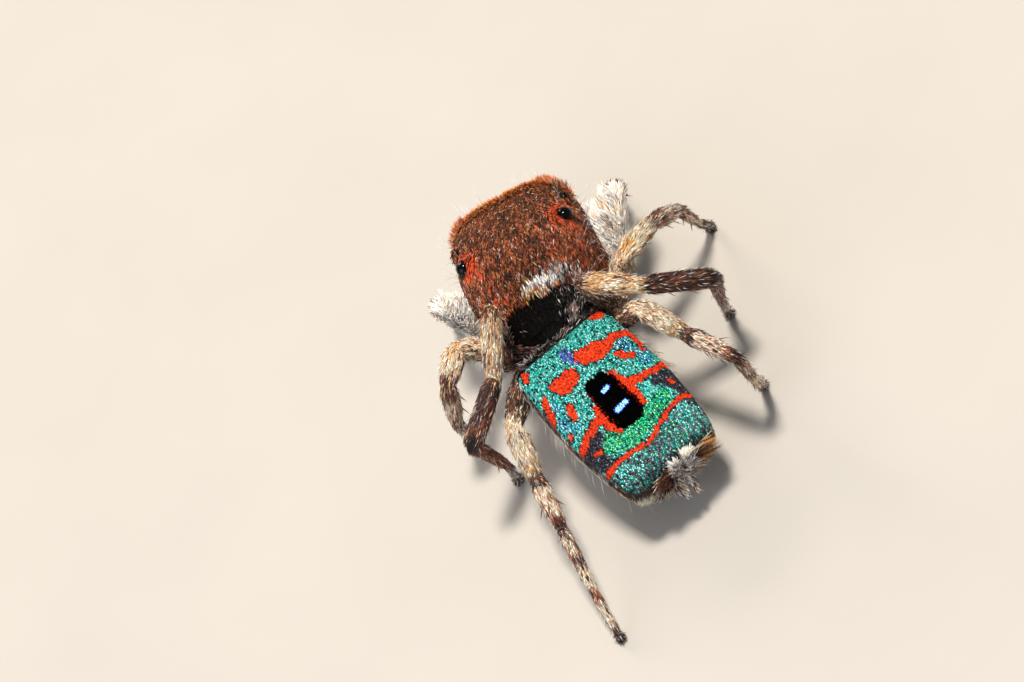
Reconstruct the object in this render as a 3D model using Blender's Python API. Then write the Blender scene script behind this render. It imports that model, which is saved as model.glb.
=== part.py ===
"""A life-size male peacock spider, standing still on the floor.

The head looks along -Y, the spider's right is -X and +Z is up. Shapes are
modelled in millimetres and turned to metres once, when a node is finished.
The origin lies on the floor, under the middle of the whole spider.
"""
import math
import random

import bmesh
import bpy
from mathutils import Matrix, Vector

# Scale and fits, in millimetres
METRES_PER_MM = 0.001
GAP = 0.02
RING_SIDES = 10

# Stance: the pedicel is the waist between the front body and the abdomen
PEDICEL_X = 0.183
PEDICEL_Y = -0.361
PEDICEL_HEIGHT = 1.38
PROSOMA_PITCH = -18.0
ABDOMEN_YAW = 19.0
ABDOMEN_PITCH = 22.0
ABDOMEN_ROLL = -7.0

# Carapace cross-sections: forward of the pedicel, half width, top, bottom
CARAPACE_SECTIONS = (
    (0.00, 0.18, 0.02, -0.24),
    (0.09, 0.33, 0.12, -0.29),
    (0.22, 0.45, 0.26, -0.31),
    (0.36, 0.56, 0.40, -0.32),
    (0.52, 0.66, 0.53, -0.32),
    (0.72, 0.75, 0.66, -0.32),
    (0.95, 0.82, 0.76, -0.32),
    (1.17, 0.85, 0.82, -0.32),
    (1.45, 0.85, 0.86, -0.31),
    (1.74, 0.83, 0.87, -0.29),
    (1.97, 0.78, 0.84, -0.26),
    (2.11, 0.71, 0.76, -0.22),
    (2.19, 0.57, 0.63, -0.15),
    (2.23, 0.37, 0.46, -0.02),
)
CARAPACE_WAIST = 0.35
CARAPACE_TOP_POWER = 3.4
CARAPACE_BOTTOM_POWER = 5.0
CARAPACE_SIDES = 28

# Sternum, the plate between the legs' roots
STERNUM_SECTIONS = (
    (0.26, 0.10, -0.36, -0.46),
    (0.38, 0.19, -0.35, -0.55),
    (0.62, 0.25, -0.34, -0.61),
    (0.95, 0.27, -0.34, -0.63),
    (1.25, 0.24, -0.34, -0.61),
    (1.45, 0.18, -0.34, -0.56),
    (1.54, 0.10, -0.35, -0.48),
)
STERNUM_POWERS = (3.0, 2.4)
STERNUM_SIDES = 16

# Abdomen cross-sections: behind the front edge of the plate, half width, top, bottom
ABDOMEN_SECTIONS = (
    (-0.13, 0.26, -0.24, -0.52),
    (-0.09, 0.44, -0.13, -0.64),
    (0.00, 0.59, -0.04, -0.74),
    (0.14, 0.66, 0.00, -0.81),
    (0.40, 0.71, 0.01, -0.87),
    (0.75, 0.74, 0.02, -0.89),
    (1.10, 0.75, 0.02, -0.87),
    (1.45, 0.73, 0.01, -0.81),
    (1.75, 0.70, 0.00, -0.72),
    (1.95, 0.66, -0.03, -0.62),
    (2.05, 0.56, -0.10, -0.54),
    (2.09, 0.34, -0.20, -0.44),
)
PLATE_EDGE_DROP = 0.13
ABDOMEN_POWERS = (4.0, 2.3)
ABDOMEN_SIDES = 28
# The plate's front edge seen from the pedicel, along the abdomen's own axes
PLATE_FORWARD = -0.286
PLATE_RIGHT = -0.158
PLATE_UP = 0.453

# Eyes: place from the pedicel, the way each looks, and its radius
EYES = {
    "eye_front_middle": ((2.13, 0.250, 0.34), (1.0, 0.05, 0.05), 0.210),
    "eye_front_side": ((2.06, 0.645, 0.49), (0.75, 0.60, 0.25), 0.120),
    "eye_small": ((1.53, 0.735, 0.69), (0.10, 0.80, 0.60), 0.050),
    "eye_rear_side": ((1.15, 0.670, 0.680), (-0.10, 0.80, 0.60), 0.105),
}
LARGE_EYE = 0.15
TURRET_RIM = 0.050
TURRET_SINK = 0.85

# Legs: hip place, then heading and elevation of each length.
# A heading is measured from straight ahead towards the leg's own side.
SEGMENT_LENGTHS = {
    1: (1.02, 0.46, 0.52, 0.42, 0.34),
    2: (0.95, 0.56, 0.62, 0.55, 0.43),
    3: (1.20, 0.78, 0.88, 0.88, 0.56),
    4: (1.19, 0.64, 0.76, 0.86, 0.60),
}
HIPS = {
    1: (1.38, 0.74, -0.42),
    2: (1.02, 0.82, -0.42),
    3: (0.55, 0.76, -0.42),
    4: (0.22, 0.58, -0.40),
}
COXA_ROOTS = {
    1: (1.24, 0.20, -0.47),
    2: (0.94, 0.20, -0.47),
    3: (0.64, 0.20, -0.47),
    4: (0.36, 0.18, -0.46),
}
LEG_ANGLES = {
    ("right", 1): ((54, 49), (-8, -44), (-10, -46), (-10, -48), -10),
    ("left", 1): ((100, 67), (8, -50), (8, -54), (8, -56), 8),
    ("right", 2): ((141, 60), (54, -9), (37, -42), (25, -71), 19),
    ("left", 2): ((140, 56), (155, 8), (115, -73), (4, -64), 14),
    ("right", 3): ((202, 69), (124, -5), (89, -33), (-20, -64), -12),
    ("left", 3): ((232, 76), (149, -36), (142, -5), (-38, -73), 11),
    ("right", 4): ((144, 44), (143, -27), (145, -7), (2, -76), -4),
    ("left", 4): ((164, 20), (176, -37), (183, -10), (181, -27), 183),
}
FRONT_LEGS = (("right", 1), ("left", 1))
TIP_HEIGHT = 0.085
LEG_REACH = 0.16

# Half thickness of the legs along each length: share of its length, radius
COXA_PROFILE = ((0.0, 0.110), (0.45, 0.120), (0.85, 0.110))
FEMUR_PROFILE = ((0.0, 0.100), (0.16, 0.128), (0.40, 0.158), (0.68, 0.152), (0.90, 0.118))
PATELLA_PROFILE = ((0.0, 0.112), (0.22, 0.140), (0.62, 0.144), (0.88, 0.116))
TIBIA_PROFILE = ((0.0, 0.102), (0.20, 0.120), (0.60, 0.118), (0.88, 0.096))
METATARSUS_PROFILE = ((0.0, 0.080), (0.25, 0.088), (0.70, 0.078))
TARSUS_PROFILE = ((0.0, 0.066), (0.35, 0.068), (0.80, 0.060), (0.97, 0.048))
SOLE_RINGS = ((0.0, 0.048), (0.03, 0.062), (0.08, 0.060), (0.13, 0.036))

# Palps and jaws, on the right side, from the pedicel
PALP_PATH = (
    (1.60, 0.30, -0.47),
    (1.86, 0.42, -0.49),
    (2.20, 0.66, -0.30),
    (2.38, 0.78, -0.17),
    (2.50, 0.82, -0.30),
    (2.55, 0.79, -0.50),
)
PALP_RADII = (0.085, 0.090, 0.100, 0.115, 0.125, 0.060)
JAW_PATH = ((1.98, 0.175, -0.16), (2.03, 0.170, -0.36), (2.05, 0.150, -0.60))
JAW_RADII = (0.150, 0.150, 0.085)

# The pedicel runs from inside the carapace's rear to inside the abdomen's front
PEDICEL_RADIUS = 0.11
PEDICEL_START = (0.12, 0.0, -0.12)
PEDICEL_END = (-0.10, 0.0, -0.42)

# Spinnerets at the abdomen's rear: base behind the plate's front, sideways, up,
# then for each pair its distance sideways and up, its length and radius
SPINNERET_BASE = (1.97, 0.0, -0.42)
SPINNERET_REACH = 0.40
SPINNERETS = (
    (0.10, -0.02, 0.26, 0.075),
    (0.06, 0.07, 0.20, 0.055),
)
SPINNERET_HUB_RADIUS = 0.17

# Hair locks: flat and tapered, bent along the lie, roots sunk into the body
LOCK_SINK = 0.05
LOCK_THICKNESS = 0.030
LOCK_SHAPE = ((0.0, 0.85), (0.38, 1.0), (0.74, 0.62))
LOCK_START_BEND = 0.30
LOCK_CLEARANCE = 0.05
LOCK_FLOOR = 0.05
# Abdomen locks: height on the flank as an angle below the plate's edge, length, count
FLANK_ROWS = ((14, 0.27, 11), (42, 0.31, 9), (70, 0.28, 5))
FLANK_START = 0.10
FLANK_END = 1.94
FLANK_LOCK_WIDTH = 0.16
FLANK_LIE = (-0.85, 0.10, -0.45)
FLANK_RUFFLE = 0.15
REAR_LOCKS = 8
REAR_LOCK_LENGTH = 0.30
REAR_BEHIND = 2.04
REAR_SPREAD = 0.44
REAR_HEIGHTS = (-0.17, -0.25)
REAR_LIE = (-1.0, 0.50, -0.12)
PALP_LOCKS = 14
PALP_LOCK_LENGTH = 0.22
PALP_LOCK_WIDTH = 0.12
PALP_HAIRED = (1.2, 4.8)
FEMUR_LOCKS = 11
FEMUR_LOCK_LENGTH = 0.26
FEMUR_LOCK_WIDTH = 0.13
FEMUR_HAIRED = (1.25, 1.9)
LOCK_LIFT = (0.15, 0.45)

# Leg spines: share of the length, turn about the leg, on the lengths named
SPINES = {
    "tibia": ((0.30, 150), (0.30, 210), (0.62, 150), (0.62, 210)),
    "metatarsus": ((0.35, 150), (0.35, 210), (0.80, 180)),
}
SPINE_LENGTHS = {"tibia": 0.26, "metatarsus": 0.20}
SPINE_ROOTS = {"tibia": 0.102, "metatarsus": 0.070}
SPINE_RADIUS = 0.020
SPINE_LEAN = 42

MATERIALS = {
    "carapace_cuticle": ("#7A3F2C", 0.55),
    "belly_cuticle": ("#B9A48A", 0.70),
    "plate_scales": ("#1FA890", 0.35),
    "leg_cuticle": ("#8A5A48", 0.60),
    "pale_hair": ("#E9E2D6", 0.80),
    "dark_cuticle": ("#3A2A26", 0.45),
    "eye_lens": ("#050506", 0.08),
}


class Axes:
    """A place with its own forward, right and up directions."""

    def __init__(self, origin, yaw, pitch, roll):
        yaw = math.radians(yaw)
        pitch = math.radians(pitch)
        level = Vector((math.sin(yaw), -math.cos(yaw), 0.0))
        self.origin = Vector(origin)
        self.forward = level * math.cos(pitch) + Vector((0, 0, math.sin(pitch)))
        side = self.forward.cross(Vector((0, 0, 1))).normalized()
        turn = Matrix.Rotation(math.radians(-roll), 3, self.forward)
        self.right = turn @ side
        self.up = self.right.cross(self.forward)

    def at(self, forward, right, up):
        """Return the point this far forward, right and up of the origin."""
        along = self.forward * forward + self.right * right
        return self.origin + along + self.up * up


def body_axes():
    """Return the axes of the front body and of the abdomen's plate."""
    prosoma = Axes((PEDICEL_X, PEDICEL_Y, PEDICEL_HEIGHT), 0.0, PROSOMA_PITCH, 0.0)
    abdomen = Axes(prosoma.origin, ABDOMEN_YAW, ABDOMEN_PITCH, ABDOMEN_ROLL)
    abdomen.origin = abdomen.at(PLATE_FORWARD, PLATE_RIGHT, PLATE_UP)
    return prosoma, abdomen


def linear_colour(code):
    """Turn an sRGB hex code into linear RGBA."""
    parts = [int(code[i:i + 2], 16) / 255 for i in (1, 3, 5)]
    linear = [c / 12.92 if c <= 0.04045 else ((c + 0.055) / 1.055) ** 2.4 for c in parts]
    return (*linear, 1.0)


def make_material(name):
    """Make a plain material from its colour and roughness."""
    code, roughness = MATERIALS[name]
    material = bpy.data.materials.new(name)
    material.use_nodes = True
    shader = material.node_tree.nodes["Principled BSDF"]
    shader.inputs["Base Color"].default_value = linear_colour(code)
    shader.inputs["Roughness"].default_value = roughness
    return material


def new_object(name, bm):
    """Turn a bmesh with outward faces into an object."""
    bmesh.ops.recalc_face_normals(bm, faces=bm.faces)
    mesh = bpy.data.meshes.new(name)
    bm.to_mesh(mesh)
    bm.free()
    obj = bpy.data.objects.new(name, mesh)
    bpy.context.scene.collection.objects.link(obj)
    return obj


def skin_rings(rings):
    """Skin a row of closed rings and close both ends with fans."""
    bm = bmesh.new()
    rows = [[bm.verts.new(point) for point in ring] for ring in rings]
    count = len(rows[0])
    for lower, upper in zip(rows, rows[1:]):
        for i in range(count):
            j = (i + 1) % count
            bm.faces.new((lower[i], lower[j], upper[j], upper[i]))
    for row in (rows[0], rows[-1]):
        hub = bm.verts.new(sum((v.co for v in row), Vector()) / count)
        for i in range(count):
            bm.faces.new((row[i], row[(i + 1) % count], hub))
    bmesh.ops.triangulate(bm, faces=bm.faces)
    return bm


def power(value, exponent):
    """Raise to a power and keep the sign."""
    return math.copysign(abs(value) ** exponent, value)


def section_point(axes, forward, half_width, heights, powers, angle):
    """Return one point of a rounded-box section; heights are top, bottom and waist."""
    top, bottom, waist = heights
    upper = math.sin(angle) >= 0
    shape = 2 / powers[0] if upper else 2 / powers[1]
    reach = top - waist if upper else waist - bottom
    across = half_width * power(math.cos(angle), shape)
    return axes.at(forward, across, waist + reach * power(math.sin(angle), shape))


def section_ring(axes, forward, half_width, heights, powers, count):
    """Return one rounded-box ring across the body, widest at the waist height."""
    turns = (2 * math.pi * i / count for i in range(count))
    return [section_point(axes, forward, half_width, heights, powers, a) for a in turns]


def boolean(obj, pieces, operation, solver="EXACT"):
    """Join or cut the object with the pieces, then remove them."""
    group = bpy.data.collections.new("pieces")
    bpy.context.scene.collection.children.link(group)
    for piece in pieces:
        for holder in list(piece.users_collection):
            holder.objects.unlink(piece)
        group.objects.link(piece)
    modifier = obj.modifiers.new("boolean", "BOOLEAN")
    modifier.operation = operation
    modifier.operand_type = "COLLECTION"
    modifier.collection = group
    modifier.solver = solver
    graph = bpy.context.evaluated_depsgraph_get()
    mesh = bpy.data.meshes.new_from_object(obj.evaluated_get(graph))
    obj.modifiers.clear()
    obj.data = mesh
    for piece in list(group.objects):
        bpy.data.objects.remove(piece)
    bpy.data.collections.remove(group)
    return obj


def keep_largest(obj):
    """Keep only the largest closed surface of the mesh."""
    bm = bmesh.new()
    bm.from_mesh(obj.data)
    left = set(bm.verts)
    groups = []
    while left:
        group = {left.pop()}
        front = list(group)
        while front:
            vert = front.pop()
            for edge in vert.link_edges:
                other = edge.other_vert(vert)
                if other in left:
                    left.discard(other)
                    group.add(other)
                    front.append(other)
        groups.append(group)
    largest = max(groups, key=len)
    bmesh.ops.delete(bm, geom=[v for v in bm.verts if v not in largest], context="VERTS")
    bm.to_mesh(obj.data)
    bm.free()


def finish(obj, material):
    """Turn a node to metres, give it its material and smooth its round faces."""
    obj.data.transform(Matrix.Scale(METRES_PER_MM, 4))
    obj.data.materials.clear()
    obj.data.materials.append(material)
    obj.data.shade_smooth()
    obj.data.set_sharp_from_angle(angle=math.radians(40))


def ball(name, centre, radius, segments, rings):
    """Make a round ball."""
    bm = bmesh.new()
    bmesh.ops.create_uvsphere(bm, u_segments=segments, v_segments=rings, radius=radius)
    bmesh.ops.translate(bm, verts=bm.verts, vec=centre)
    bmesh.ops.triangulate(bm, faces=bm.faces)
    return new_object(name, bm)


def end_growth(index, count, grow):
    """Return how far the first and last sections move outwards."""
    if index == 0:
        return -grow
    return grow if index == count - 1 else 0.0


def carapace(name, prosoma, grow=0.0):
    """Make the shell of the front body, or a copy of it grown by a little."""
    rings = []
    for index, (forward, half_width, top, bottom) in enumerate(CARAPACE_SECTIONS):
        forward += end_growth(index, len(CARAPACE_SECTIONS), grow)
        waist = bottom + CARAPACE_WAIST * (top - bottom)
        rings.append(section_ring(
            prosoma, forward, half_width + grow, (top + grow, bottom - grow, waist),
            (CARAPACE_TOP_POWER, CARAPACE_BOTTOM_POWER), CARAPACE_SIDES,
        ))
    return new_object(name, skin_rings(rings))


def sternum(name, prosoma, grow=0.0):
    """Make the plate under the front body, or a copy grown by a little."""
    rings = []
    for index, (forward, half_width, top, bottom) in enumerate(STERNUM_SECTIONS):
        forward += end_growth(index, len(STERNUM_SECTIONS), grow)
        waist = (top + bottom) / 2
        rings.append(section_ring(
            prosoma, forward, half_width + grow, (top + grow, bottom - grow, waist),
            STERNUM_POWERS, STERNUM_SIDES,
        ))
    return new_object(name, skin_rings(rings))


def abdomen(name, axes, grow=0.0):
    """Make the abdomen with its flat plate on top, or a copy grown by a little."""
    rings = []
    for index, (behind, half_width, top, bottom) in enumerate(ABDOMEN_SECTIONS):
        behind += end_growth(index, len(ABDOMEN_SECTIONS), grow)
        rings.append(section_ring(
            axes, -behind, half_width + grow,
            (top + grow, bottom - grow, top - PLATE_EDGE_DROP), ABDOMEN_POWERS, ABDOMEN_SIDES,
        ))
    return new_object(name, skin_rings(rings))


def direction(side, heading, elevation):
    """Return the unit direction of a leg length from its two angles."""
    sign = -1 if side == "right" else 1
    heading = math.radians(heading) * sign
    elevation = math.radians(elevation)
    level = math.cos(elevation)
    return Vector((math.sin(heading) * level, -math.cos(heading) * level, math.sin(elevation)))


def leg_joints(side, number, prosoma):
    """Return the leg's joints from the coxa's root to the tip on the floor."""
    sign = 1 if side == "right" else -1
    root = COXA_ROOTS[number]
    hip = HIPS[number]
    joints = [
        prosoma.at(root[0], sign * root[1], root[2]),
        prosoma.at(hip[0], sign * hip[1], hip[2]),
    ]
    lengths = SEGMENT_LENGTHS[number]
    angles = LEG_ANGLES[(side, number)]
    for length, (heading, elevation) in zip(lengths, angles[:-1]):
        joints.append(joints[-1] + length * direction(side, heading, elevation))
    drop = (joints[-1].z - TIP_HEIGHT) / lengths[-1]
    elevation = -math.degrees(math.asin(min(drop, 0.98)))
    joints.append(joints[-1] + lengths[-1] * direction(side, angles[-1], elevation))
    return joints


def tube(path, cuts, before=None, after=None):
    """Return the centres, planes and radii of the rings along a bent path.

    cuts lists, for each stretch, the shares of its length and the radii there.
    before and after are the ways the neighbouring nodes run, where a thin cut
    parts the tube from them. A ring near a bend moves on until it clears it.
    """
    ways = [(b - a).normalized() for a, b in zip(path, path[1:])]
    around = [ways[0] if before is None else before, *ways]
    around.append(ways[-1] if after is None else after)
    stations = []
    for index, way in enumerate(ways):
        length = (path[index + 1] - path[index]).length
        bend_before = math.tan(around[index].angle(way) / 2)
        bend_after = math.tan(way.angle(around[index + 2]) / 2)
        for share, radius in cuts[index]:
            if share == 0.0:
                plane = (around[index] + way).normalized()
                stand_off = plane * GAP / 2 if index == 0 and before is not None else Vector()
                stations.append((path[index] + stand_off, plane, radius))
                continue
            place = max(share * length, radius * bend_before + GAP)
            place = min(place, length - radius * bend_after - GAP)
            stations.append((path[index] + way * place, way, radius))
    plane = (ways[-1] + around[-1]).normalized()
    stand_off = plane * GAP / 2 if after is not None else Vector()
    stations.append((path[-1] - stand_off, plane, cuts[-1][-1][1]))
    return stations


def frame_rings(stations, sides=RING_SIDES):
    """Carry one frame along the stations and return their rings."""
    tangent = stations[0][1]
    across = tangent.orthogonal().normalized()
    rings = []
    for centre, next_tangent, radius in stations:
        across = tangent.rotation_difference(next_tangent) @ across
        tangent = next_tangent
        other = tangent.cross(across).normalized()
        ring = []
        for i in range(sides):
            angle = 2 * math.pi * i / sides
            ring.append(centre + radius * (math.cos(angle) * across + math.sin(angle) * other))
        rings.append(ring)
    return rings


def tube_object(name, stations, sides=RING_SIDES):
    """Make a closed tube through the stations."""
    return new_object(name, skin_rings(frame_rings(stations, sides)))


def sole(centre):
    """Make the small flat-soled claw tuft that stands on the floor."""
    rings = []
    for height, radius in SOLE_RINGS:
        ring = []
        for i in range(8):
            angle = 2 * math.pi * i / 8
            ring.append(Vector((
                centre.x + radius * math.cos(angle),
                centre.y + radius * math.sin(angle),
                height,
            )))
        rings.append(ring)
    return new_object("sole", skin_rings(rings))


def lock(root, normal, lie, length, width):
    """Make one flat tapered lock that rises from its root and bends to the lie."""
    across = normal.cross(lie).normalized()
    centre = root - normal * LOCK_SINK
    step = (length + LOCK_SINK) / len(LOCK_SHAPE)
    rings = []
    for share, taper in LOCK_SHAPE:
        way = normal.lerp(lie, LOCK_START_BEND + (1 - LOCK_START_BEND) * share).normalized()
        thick = way.cross(across).normalized() * LOCK_THICKNESS / 2 * taper
        side = across * width / 2 * taper
        rings.append([centre + side, centre + thick, centre - side, centre - thick])
        centre = centre + way * step
    bm = bmesh.new()
    rows = [[bm.verts.new(point) for point in ring] for ring in rings]
    tip = bm.verts.new(centre)
    for lower, upper in zip(rows, rows[1:]):
        for i in range(4):
            j = (i + 1) % 4
            bm.faces.new((lower[i], lower[j], upper[j], upper[i]))
    for i in range(4):
        bm.faces.new((rows[-1][i], rows[-1][(i + 1) % 4], tip))
    bm.faces.new(rows[0][::-1])
    bmesh.ops.triangulate(bm, faces=bm.faces)
    points = [sum(ring, Vector()) / 4 for ring in rings[1:]]
    return new_object("lock", bm), [*points, centre]


def spine(start, way, length, radius):
    """Make one thin pointed spine."""
    rings = []
    across = way.orthogonal().normalized()
    other = way.cross(across)
    base = start - way * radius * 2
    for share, taper in ((0.0, 1.0), (0.55, 0.8)):
        centre = base + way * (length + radius * 2) * share
        rings.append([
            centre + (across * math.cos(a) + other * math.sin(a)) * radius * taper
            for a in (0.0, math.pi * 2 / 3, math.pi * 4 / 3)
        ])
    bm = bmesh.new()
    lower, upper = [[bm.verts.new(point) for point in ring] for ring in rings]
    tip = bm.verts.new(start + way * length)
    for i in range(3):
        j = (i + 1) % 3
        bm.faces.new((lower[i], lower[j], upper[j], upper[i]))
        bm.faces.new((upper[i], upper[j], tip))
    bm.faces.new(lower[::-1])
    bmesh.ops.triangulate(bm, faces=bm.faces)
    return new_object("spine", bm)


def distance_to_stretch(point, start, end):
    """Return how far a point is from a straight stretch."""
    along = end - start
    share = max(0.0, min(1.0, (point - start).dot(along) / along.length_squared))
    return (point - start.lerp(end, share)).length


def clear_locks(locks, obstacles):
    """Keep the locks that stay clear of the floor and the legs, and remove the rest."""
    kept = []
    for obj, points in locks:
        free = all(point.z > LOCK_FLOOR for point in points)
        for start, end, radius in obstacles:
            near = min(distance_to_stretch(point, start, end) for point in points)
            free = free and near > radius + LOCK_CLEARANCE
        if free:
            kept.append(obj)
        else:
            bpy.data.objects.remove(obj)
    return kept


def make_prosoma(prosoma, materials):
    """Make the carapace with its eye turrets and sockets, the eyes and sternum."""
    shell = carapace("carapace", prosoma)
    turrets = []
    sockets = []
    for name, (place, gaze, radius) in EYES.items():
        for side, sign in (("right", 1), ("left", -1)):
            centre = prosoma.at(place[0], sign * place[1], place[2])
            gaze_point = prosoma.at(place[0] + gaze[0], sign * (place[1] + gaze[1]), place[2] + gaze[2])
            outward = (gaze_point - centre).normalized()
            turret = centre - outward * radius * TURRET_SINK
            segments, rings = (12, 8) if radius > LARGE_EYE else (8, 6)
            turrets.append(ball("turret", turret, radius + TURRET_RIM, segments, rings))
            sockets.append(ball("socket", centre, radius + GAP, segments, rings))
            eye = ball(f"{name}_{side}", centre, radius, segments, rings)
            finish(eye, materials["eye_lens"])
    boolean(shell, turrets, "UNION")
    boolean(shell, sockets, "DIFFERENCE")
    keep_largest(shell)
    finish(shell, materials["carapace_cuticle"])
    plate = sternum("sternum", prosoma)
    finish(plate, materials["dark_cuticle"])


def tube_locks(path, radii, shares, count, length, width, ways):
    """Make locks round a bent tube, set evenly along it and lying towards its end.

    shares are the start and end of the haired length, counted in stretches, and
    ways are the outward directions that the rows of locks grow in.
    """
    locks = []
    for i in range(count):
        along = shares[0] + (shares[1] - shares[0]) * (i + 0.5) / count
        index = min(int(along), len(path) - 2)
        share = along - index
        start, end = path[index], path[index + 1]
        way = (end - start).normalized()
        outward = ways[i % len(ways)]
        outward = (outward - way * outward.dot(way)).normalized()
        radius = radii[index] + (radii[index + 1] - radii[index]) * share
        place = start.lerp(end, share) + outward * radius * 0.95
        lie = (way + outward * random.uniform(*LOCK_LIFT)).normalized()
        locks.append(lock(place, outward, lie, length * random.uniform(0.8, 1.1), width))
    return locks


def make_jaws_and_palps(prosoma, obstacles, materials):
    """Make both chelicerae and both palps, cut clear of the carapace."""
    for side, sign in (("right", 1), ("left", -1)):
        for stem, path, radii, material in (
            ("chelicera", JAW_PATH, JAW_RADII, "dark_cuticle"),
            ("palp", PALP_PATH, PALP_RADII, "pale_hair"),
        ):
            points = [prosoma.at(f, sign * r, u) for f, r, u in path]
            cuts = [((0.0, a), (0.5, (a + b) / 2)) for a, b in zip(radii, radii[1:])]
            cuts[-1] = (*cuts[-1], (0.9, radii[-1]))
            node = tube_object(f"{stem}_{side}", tube(points, cuts))
            if stem == "palp":
                out = prosoma.right * sign
                ways = (prosoma.up, out, out - prosoma.up, prosoma.up + out)
                locks = tube_locks(
                    points, radii, PALP_HAIRED, PALP_LOCKS, PALP_LOCK_LENGTH, PALP_LOCK_WIDTH, ways)
                boolean(node, clear_locks(locks, obstacles), "UNION")
            grown = [carapace("grown", prosoma, GAP), sternum("grown", prosoma, GAP)]
            boolean(node, grown, "DIFFERENCE")
            keep_largest(node)
            finish(node, materials[material])


def abdomen_section(behind):
    """Return the abdomen's half width and heights this far behind the plate's front."""
    sections = list(zip(ABDOMEN_SECTIONS, ABDOMEN_SECTIONS[1:]))
    lower, upper = next((a, b) for a, b in sections if a[0] <= behind <= b[0])
    share = (behind - lower[0]) / (upper[0] - lower[0])
    _, half_width, top, bottom = (a + (b - a) * share for a, b in zip(lower, upper))
    return half_width, (top, bottom, top - PLATE_EDGE_DROP)


def flank_point(axes, behind, angle):
    """Return a place on the abdomen's flank and the way its surface faces."""
    def at(behind, angle):
        half_width, heights = abdomen_section(behind)
        return section_point(axes, -behind, half_width, heights, ABDOMEN_POWERS, angle)

    step = 0.02
    place = at(behind, angle)
    along = at(behind + step, angle) - place
    around = at(behind, angle + step) - place
    normal = along.cross(around).normalized()
    centre = axes.at(-behind, 0.0, -PLATE_EDGE_DROP * 2)
    if normal.dot(place - centre) < 0:
        normal.negate()
    return place, normal


def abdomen_locks(axes):
    """Make the locks that hang along both flanks and close the rear."""
    locks = []
    for turn, length, count in FLANK_ROWS:
        for i in range(count):
            behind = FLANK_START + (FLANK_END - FLANK_START) * (i + 0.5) / count
            for sign in (1, -1):
                place_turn = math.radians(-turn if sign == 1 else 180 + turn)
                place, normal = flank_point(axes, behind, place_turn)
                forward, outward, up = FLANK_LIE
                up += random.uniform(-FLANK_RUFFLE, FLANK_RUFFLE)
                lie = axes.forward * forward + axes.right * sign * outward + axes.up * up
                locks.append(lock(
                    place, normal, lie.normalized(), length * random.uniform(0.85, 1.1),
                    FLANK_LOCK_WIDTH * random.uniform(0.85, 1.1),
                ))
    for i in range(REAR_LOCKS):
        spread = -1 + 2 * (i + 0.5) / REAR_LOCKS
        place = axes.at(-REAR_BEHIND, spread * REAR_SPREAD, REAR_HEIGHTS[i % 2])
        forward, outward, up = REAR_LIE
        lie = axes.forward * forward + axes.right * spread * outward + axes.up * up
        locks.append(lock(
            place, -axes.forward, lie.normalized(),
            REAR_LOCK_LENGTH * random.uniform(0.8, 1.1), FLANK_LOCK_WIDTH,
        ))
    return locks


def make_abdomen(axes, prosoma, obstacles, materials):
    """Make the abdomen, the pedicel and the spinnerets."""
    body = abdomen("abdomen", axes)
    behind, _, up = SPINNERET_BASE
    tail_end = axes.at(-behind - SPINNERET_REACH, 0.0, up)
    tail = (axes.at(-behind, 0.0, up), tail_end, SPINNERET_HUB_RADIUS)
    boolean(body, clear_locks(abdomen_locks(axes), [*obstacles, tail]), "UNION")
    keep_largest(body)
    finish(body, materials["plate_scales"])
    start = prosoma.at(*PEDICEL_START)
    end = axes.at(*PEDICEL_END)
    pedicel = tube_object("pedicel", tube([start, end], [((0.0, PEDICEL_RADIUS),)]))
    boolean(pedicel, [carapace("grown", prosoma, GAP), abdomen("grown", axes, GAP)], "DIFFERENCE")
    keep_largest(pedicel)
    finish(pedicel, materials["dark_cuticle"])
    hub = ball("spinnerets", axes.at(-behind, 0.0, up), SPINNERET_HUB_RADIUS, 10, 6)
    cones = []
    for across, rise, length, radius in SPINNERETS:
        for sign in (1, -1):
            base = axes.at(-behind - 0.10, sign * across, up + rise)
            tip = axes.at(-behind - 0.10 - length, sign * across * 0.7, up + rise - 0.04)
            cuts = [((0.0, radius), (0.6, radius * 0.85), (0.95, radius * 0.45))]
            cones.append(tube_object("cone", tube([base, tip], cuts), 6))
    boolean(hub, cones, "UNION")
    boolean(hub, [abdomen("grown", axes, GAP)], "DIFFERENCE")
    keep_largest(hub)
    finish(hub, materials["belly_cuticle"])


def leg_obstacles(legs, prosoma):
    """Return the stretches of the named legs with a radius that holds them."""
    stretches = []
    for side, number in legs:
        joints = leg_joints(side, number, prosoma)
        stretches += [(a, b, LEG_REACH) for a, b in zip(joints[1:], joints[2:])]
    return stretches


def leg_spines(joints, index, kind):
    """Make the spines of one leg length, which starts at the joint of this index."""
    start, end = joints[index], joints[index + 1]
    way = (end - start).normalized()
    upward = (Vector((0, 0, 1)) - way * way.z).normalized()
    across = way.cross(upward)
    lean = math.radians(SPINE_LEAN)
    spines = []
    for share, turn in SPINES[kind]:
        turn = math.radians(turn)
        outward = upward * math.cos(turn) + across * math.sin(turn)
        root = start.lerp(end, share) + outward * SPINE_ROOTS[kind]
        pointing = outward * math.sin(lean) + way * math.cos(lean)
        spines.append(spine(root, pointing, SPINE_LENGTHS[kind], SPINE_RADIUS))
    return spines


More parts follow.
